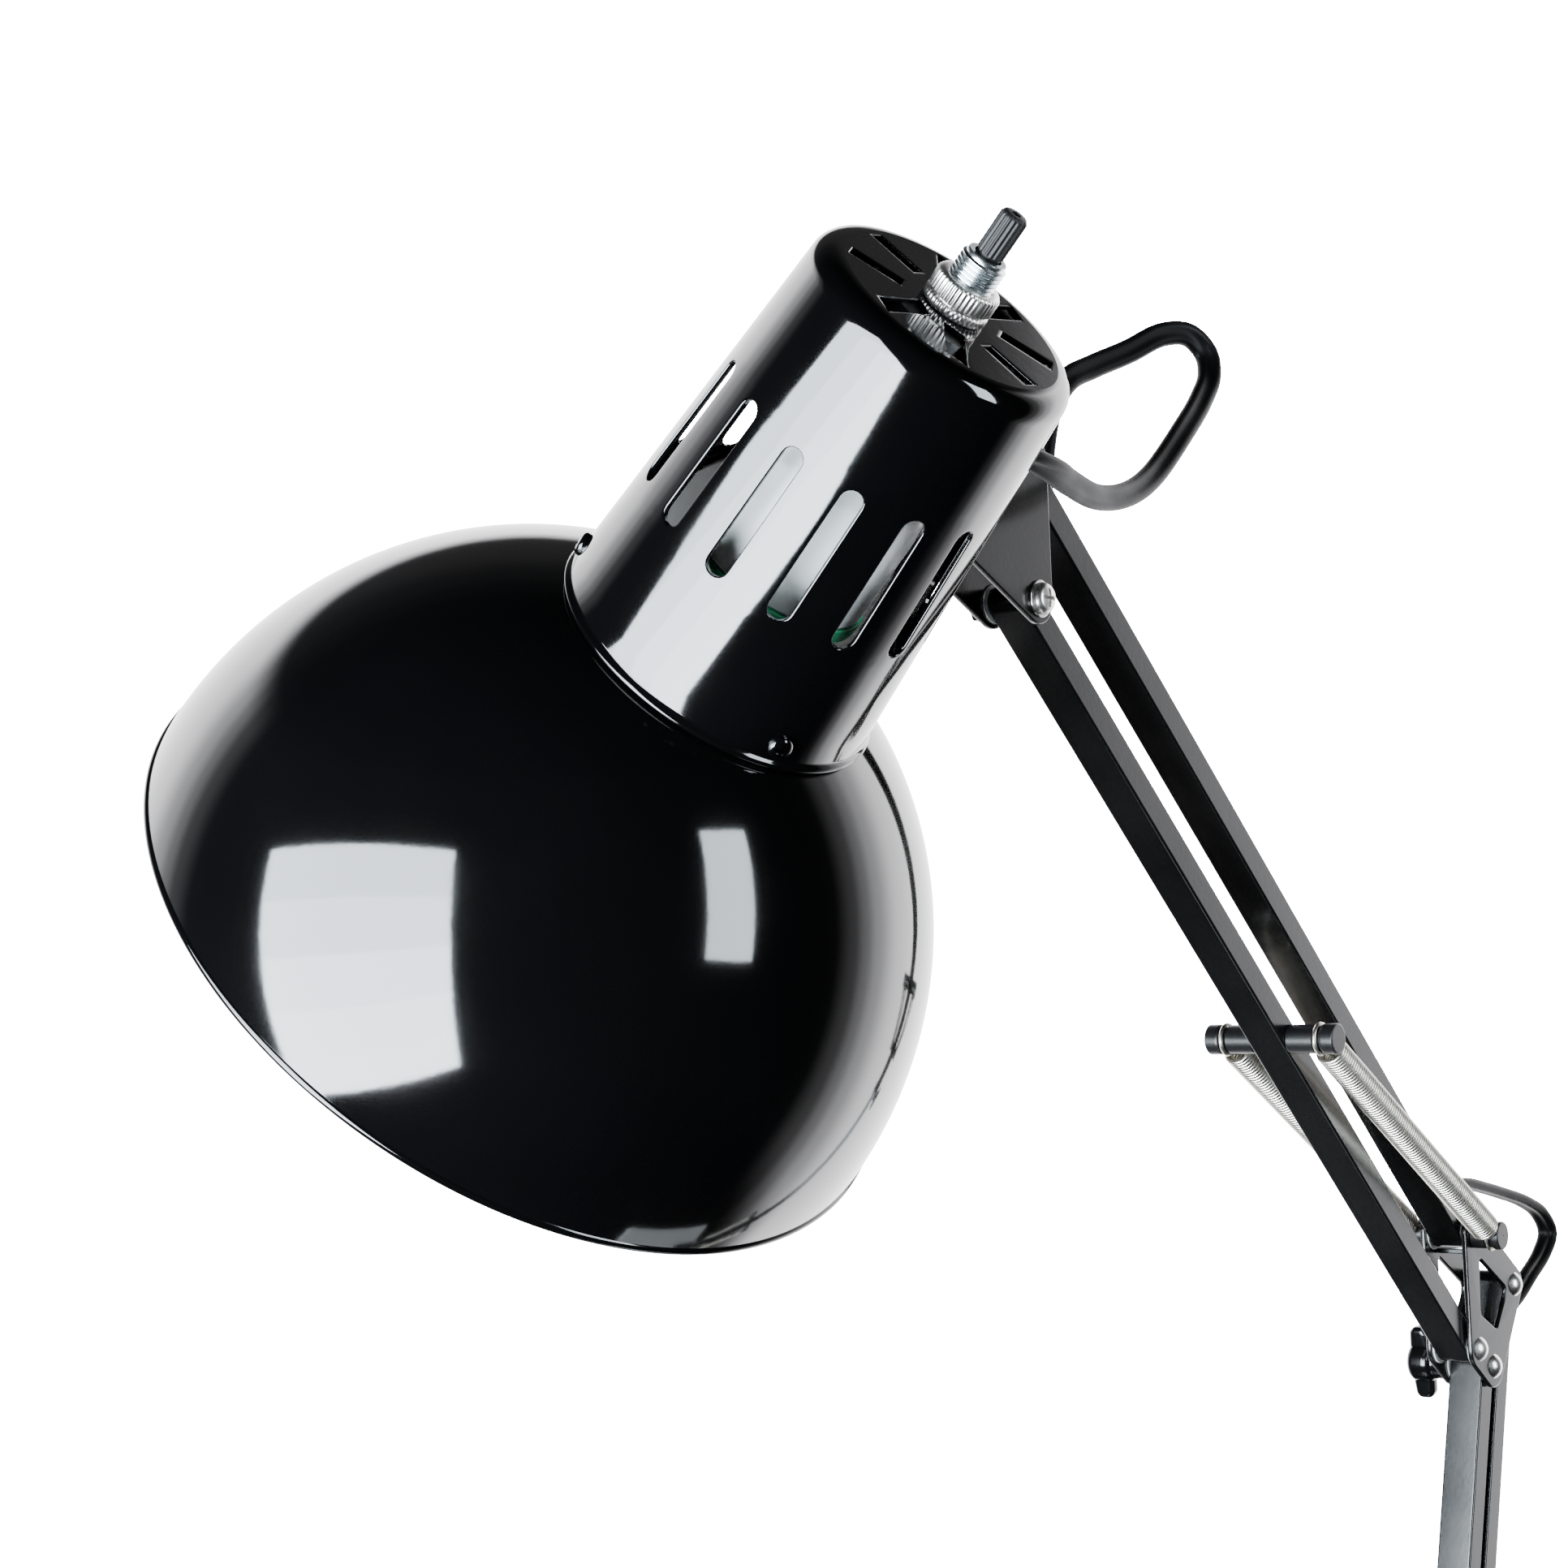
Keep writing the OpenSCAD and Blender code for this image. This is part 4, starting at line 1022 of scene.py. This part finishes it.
def plates():
    up = ELBOW_UP
    outline = hull_loop([xz(up, 5.5), xz(ELBOW_FRONT, 6), xz(ELBOW_REAR, 5), (up.x - 4, up.z + 27, 3),
                         (up.x + 13, up.z + 25.5, 3), xz(ELBOW_SPRING, 5.8)])
    window = [(0.8, 25.5), (0.8, 9.6), (10.5, 5), (11.5, 5.2), (17.2, 13.2), (17.8, 16.2)]
    window = eased([(up.x + x, up.z + z) for x, z in window], 1.6, 4, closed=True)
    for y0, side, node in ((-PLATE_OUT, "near", "elbow_plate_near"), (PLATE_IN, "far", "elbow_plate_far")):
        part, at = in_plane(y0, y0 + 1.5, outline, [window], 0.4)
        piece(Shape().add(part, at), f"elbow_side_{side}", "elbow", ARM, (node,))
    part = box_part((up.x + 1, -PLATE_IN, up.z + 26.2), (up.x + 13, PLATE_IN, up.z + 27.6), 0.3)
    piece(Shape().add(part), "elbow_web", "elbow", ARM, ("elbow_spacer",))
    outline = hull_loop([xz(HEAD_LOW, 5.8), xz(HEAD_HIGH, 6), xz(TILT, 8.5)])
    for y0, side, node in ((-PLATE_OUT, "near", "head_plate_near"), (PLATE_IN, "far", "head_plate_far")):
        part, at = in_plane(y0, y0 + 1.5, outline, (), 0.4)
        piece(Shape().add(part, at), f"head_side_{side}", "head_bracket", ARM, (node,))
    # Elbow bolt and its wing knob
    shape = Shape().add(rod(2, -7, 16.2, 0.3), shift(ELBOW_FRONT) @ ACROSS)
    shape.add(dome(3.4, 1.9, 36), plate_face(ELBOW_FRONT, near=True))
    piece(shape, "elbow_pivot_bolt", "elbow", RIVET, ("elbow_bolt",))
    knob = Shape()
    at = shift(ELBOW_FRONT) @ ACROSS @ shift((0, 0, PLATE_OUT + 0.3))
    hub = [(0, 0), (4.6, 0), (4.6, 3.6), (5.3, 4.4), (5.6, 5.5), (5.6, 9.6), (4.6, 10.8), (0, 11)]
    knob.add(lathe(hub, 44, 0.8), at)
    for side in (1, -1):
        wing = eased([(0, 4), (3 * side, 4.2), (6 * side, 4.6), (9 * side, 4.8), (10.4 * side, 6),
                      (10.4 * side, 9.2), (9.2 * side, 10.4), (4 * side, 10.8), (0, 10.6)][::side], 1.4, 4,
                     closed=True)
        part = slab(wing, [], -2.2, 2.2, 1.5, 5)
        knob.add(part, at @ turned(KNOB_TURN + pi / 2, "Z") @ turned(pi / 2, "X"))
    piece(knob, "elbow_knob", "elbow_knob", GLOSS, ("elbow_wing_knob",))
    # Head pivot screw, tilt bolt and wing nut
    near = plate_face(HEAD_LOW, near=True)
    body = moved(screw_head(3.7, 2.5), near @ shift((0, 0, 0.5)))
    cut = moved(cross_cut(3.7, 2.5), near @ shift((0, 0, 0.5)))
    place(carved(body, cut, "head_pivot_pan"), "head_pivot_pan", "head_bracket", RIVET, ())
    rest = Shape().add(rod(2, -PLATE_OUT, PLATE_OUT + 3.5, 0.3), shift(HEAD_LOW) @ ACROSS)
    rest.add(ring_part(2.0, 4.3, 0.0, 0.6, 0.2, 44), near)
    nut = eased([(4.4 * cos(pi / 3 * k), 4.4 * sin(pi / 3 * k)) for k in range(6)], 0.4, 2, closed=True)
    rest.add(slab(nut, [disc_loop(0, 0, 2.02, 24)], 0, 3, 0.35), plate_face(HEAD_LOW))
    piece(rest, "head_pivot_bolt", "head_bracket", NICKEL, ("head_pivot_screw",))
    shape = Shape().add(rod(2.5, -7, 19, 0.4), shift(TILT) @ ACROSS)
    shape.add(dome(4.5, 2.4, 40), plate_face(TILT, near=True))
    piece(shape, "tilt_pivot_bolt", "head_bracket", NICKEL, ("tilt_bolt",))
    at = shift(TILT) @ ACROSS @ shift((0, 0, PLATE_OUT + 0.3))
    wing = Shape().add(ring_part(2.55, 5, 0, 6, 0.5), at)
    for side in (1, -1):
        ear = eased([(3.6 * side, 1.5), (6.5 * side, 1.4), (12 * side, 4.6), (14 * side, 8.6),
                     (11.5 * side, 9.8), (6 * side, 6.4), (3.6 * side, 5.4)][::side], 1.4, 4, closed=True)
        wing.add(slab(ear, [], -1.1, 1.1, 0.8, 4), at @ turned(pi / 2, "Z") @ turned(pi / 2, "X"))
    fix_normals(piece(wing, "tilt_wings", "tilt_nut", NICKEL, ("tilt_wing_nut",)))


def foot():
    web = 33.3
    lobes = [xz(FOOT_LOW, 6.5), xz(FOOT_HIGH, 6.5), xz(BASE_SPRING, 6), (-11, web + 3, 3), (13, web + 3, 3)]
    shape = Shape()
    for y0 in (-PLATE_OUT, PLATE_IN):
        part, at = in_plane(y0, y0 + 1.5, hull_loop(lobes), (), 0.4)
        shape.add(part, at)
    shape.add(box_part((-13, -6.8, web), (15, 6.8, web + 3), 0.4))
    shape.add(rod(6, 9, web + 1, 0.4, 44))
    piece(shape, "foot_bracket", "foot", ARM, ("base_bracket",))


def clamp():
    throat, half, bottom = 62, 15, -70
    outline = eased([(-22, 5), (-22, 0), (30, 0), (30, -throat), (-14, -throat), (-14, bottom), (36, bottom),
                     (36, 5)], 2.2, 4, closed=True)
    part, at = in_plane(-half, half, spread_loop(outline, 12), (), 0.9)
    shape = Shape().add(part, at)
    shape.add(ring_part(6.05, 11, 4.5, 33, 0.9, 56))
    shape.add(ring_part(5.05, 10, bottom - 5, bottom + 7.9, 0.8, 48))
    piece(shape, "clamp_body", "clamp", ARM, ("clamp_frame",))
    low, top = -throat - 52, -30.3
    profile = [(0, low), (6.4, low), (7, low + 0.8), (7, low + 13.4), (6.4, low + 14), (4.6, low + 14)]
    z = low + 15
    while z < top - 2:
        profile += [(4.35, z), (4.95, z + 0.6), (4.95, z + 0.75), (4.35, z + 1.35)]
        z += 1.5
    profile += [(4.4, top - 0.4), (4.0, top), (3.5, top), (3.5, top + 2.6), (0, top + 2.6)]
    piece(Shape().add(lathe(profile, 44)), "clamp_spindle", "clamp_screw", NICKEL, ("clamp_screw",), 30)
    pad = [(0, -26.8), (3.55, -26.8), (3.55, -30), (8.5, -30), (8.5, -28), (14, -28), (14, -25), (12.6, -25),
           (12.2, -25.35), (0, -25.35)]
    fix_normals(piece(Shape().add(lathe(pad, 56, 0.4)), "pressure_pad", "clamp_pad", PLASTIC, ("clamp_pad",)))
    bar_shape = Shape()
    at = shift((0, 0, -throat - 45)) @ turned(pi / 2, "Y")
    bar_shape.add(rod(2.45, -30, 30, 0.4), at)
    for z in (-30, 27):
        bar_shape.add(rod(3.6, z, z + 3, 0.8), at)
    piece(bar_shape, "tommy_handle", "tommy_bar", NICKEL, ("clamp_tommy_bar",))


arms()
plates()
foot()
clamp()

# CAD parts that stay as they are
for node, mat in (("lamp_socket", PLASTIC), ("socket_shell", BRASS), ("swivel_stud", NICKEL),
                  ("swivel_saddle", ARM), ("stud_nut", NICKEL), ("tilt_knuckle", ARM), ("lower_lead", VINYL),
                  ("upper_lead", VINYL)):
    o = bpy.data.objects[node]
    if o.material_slots:
        for s in o.material_slots:
            s.material = mat
    else:
        o.data.materials.append(mat)


# ---- stage and light
def stage():
    shape = Shape().add(box_part((-150, -60, -25), (29.5, 170, 0), 0.8))
    pale = material("desk", (0.72, 0.72, 0.71), 0.5, vary=0.05, grain=300, bump=0.03, tint=0.02)
    place(to_mesh(shape, "desk_top"), "desk_top", None, pale)


ROOM_WALL = 5.5  # brightness of the white wall


def area(name, at, aim, size, power):
    data = bpy.data.lights.new(name, "AREA")
    data.shape = "RECTANGLE"
    data.size, data.size_y = size
    data.energy = power
    data.color = (0.84, 0.93, 1.0)
    o = link(bpy.data.objects.new(name, data))
    o.location = at
    o.rotation_euler = (Vector(aim) - Vector(at)).to_track_quat("-Z", "Y").to_euler()
    o.visible_camera = False


def eased_step(tree, value, start, stop, below, above):
    """Result that eases from below to above while value goes from start to stop."""
    node = tree.nodes.new("ShaderNodeMapRange")
    node.interpolation_type = "SMOOTHSTEP"
    set_values(node, {"From Min": start, "From Max": stop, "To Min": below, "To Max": above})
    tree.links.new(value, node.inputs["Value"])
    return node.outputs["Result"]


def world():
    """White wall behind the lamp, fading into a dark room all round; the camera sees plain white."""
    w = bpy.data.worlds.new("studio")
    bpy.context.scene.world = w
    w.use_nodes = True
    nodes, links = w.node_tree.nodes, w.node_tree.links
    nodes.clear()
    where = nodes.new("ShaderNodeTexCoord")
    dot = nodes.new("ShaderNodeVectorMath")
    dot.operation = "DOT_PRODUCT"
    dot.inputs[1].default_value = (0.783, 0.615, 0.09)
    links.new(where.outputs["Generated"], dot.inputs[0])
    ramp = nodes.new("ShaderNodeValToRGB")
    ramp.color_ramp.interpolation = "EASE"
    stops = ((0.0, 0.002), (0.12, 0.004), (0.27, 0.09), (0.36, 0.26), (0.46, 0.5), (0.64, 1.0))
    ramp.color_ramp.elements[0].position, ramp.color_ramp.elements[1].position = stops[0][0], stops[-1][0]
    for at, level in stops[1:-1]:
        ramp.color_ramp.elements.new(at)
    for element, (at, level) in zip(ramp.color_ramp.elements, stops):
        element.color = (level, level, level * 1.03, 1)
    links.new(dot.outputs["Value"], ramp.inputs[0])
    split = nodes.new("ShaderNodeSeparateXYZ")
    links.new(where.outputs["Generated"], split.inputs[0])
    low = eased_step(w.node_tree, split.outputs["Z"], -0.78, -0.58, 0.1, ROOM_WALL)
    high = eased_step(w.node_tree, split.outputs["Z"], 0.56, 0.68, 1.0, 0.02)
    both = nodes.new("ShaderNodeMath")
    both.operation = "MULTIPLY"
    links.new(low, both.inputs[0])
    links.new(high, both.inputs[1])
    dim = nodes.new("ShaderNodeBackground")
    links.new(ramp.outputs["Color"], dim.inputs["Color"])
    links.new(both.outputs[0], dim.inputs["Strength"])
    white = nodes.new("ShaderNodeBackground")
    white.inputs["Strength"].default_value = 40.0
    path = nodes.new("ShaderNodeLightPath")
    mix = nodes.new("ShaderNodeMixShader")
    out = nodes.new("ShaderNodeOutputWorld")
    links.new(path.outputs["Is Camera Ray"], mix.inputs[0])
    links.new(dim.outputs[0], mix.inputs[1])
    links.new(white.outputs[0], mix.inputs[2])
    links.new(mix.outputs[0], out.inputs[0])


stage()
world()
# A soft box of five strips on the left that dims upwards, and a second one on the right, in metres
CARD_X, CARD_Y, CARD_WIDE, CARD_LOW, CARD_TALL = -0.74, 0.095, 0.46, 0.09, 0.106
for strip, level in enumerate((190, 185, 168, 140, 118)):
    z = CARD_LOW + CARD_TALL * (strip + 0.5)
    area(f"card_{strip}", (CARD_X, CARD_Y, z), (0, CARD_Y, z), (CARD_WIDE, CARD_TALL),
         level * CARD_WIDE * CARD_TALL)
area("card_side", (-0.09, -1.2, 0.6), (-0.09, 0, 0.6), (0.32, 0.7), 15)
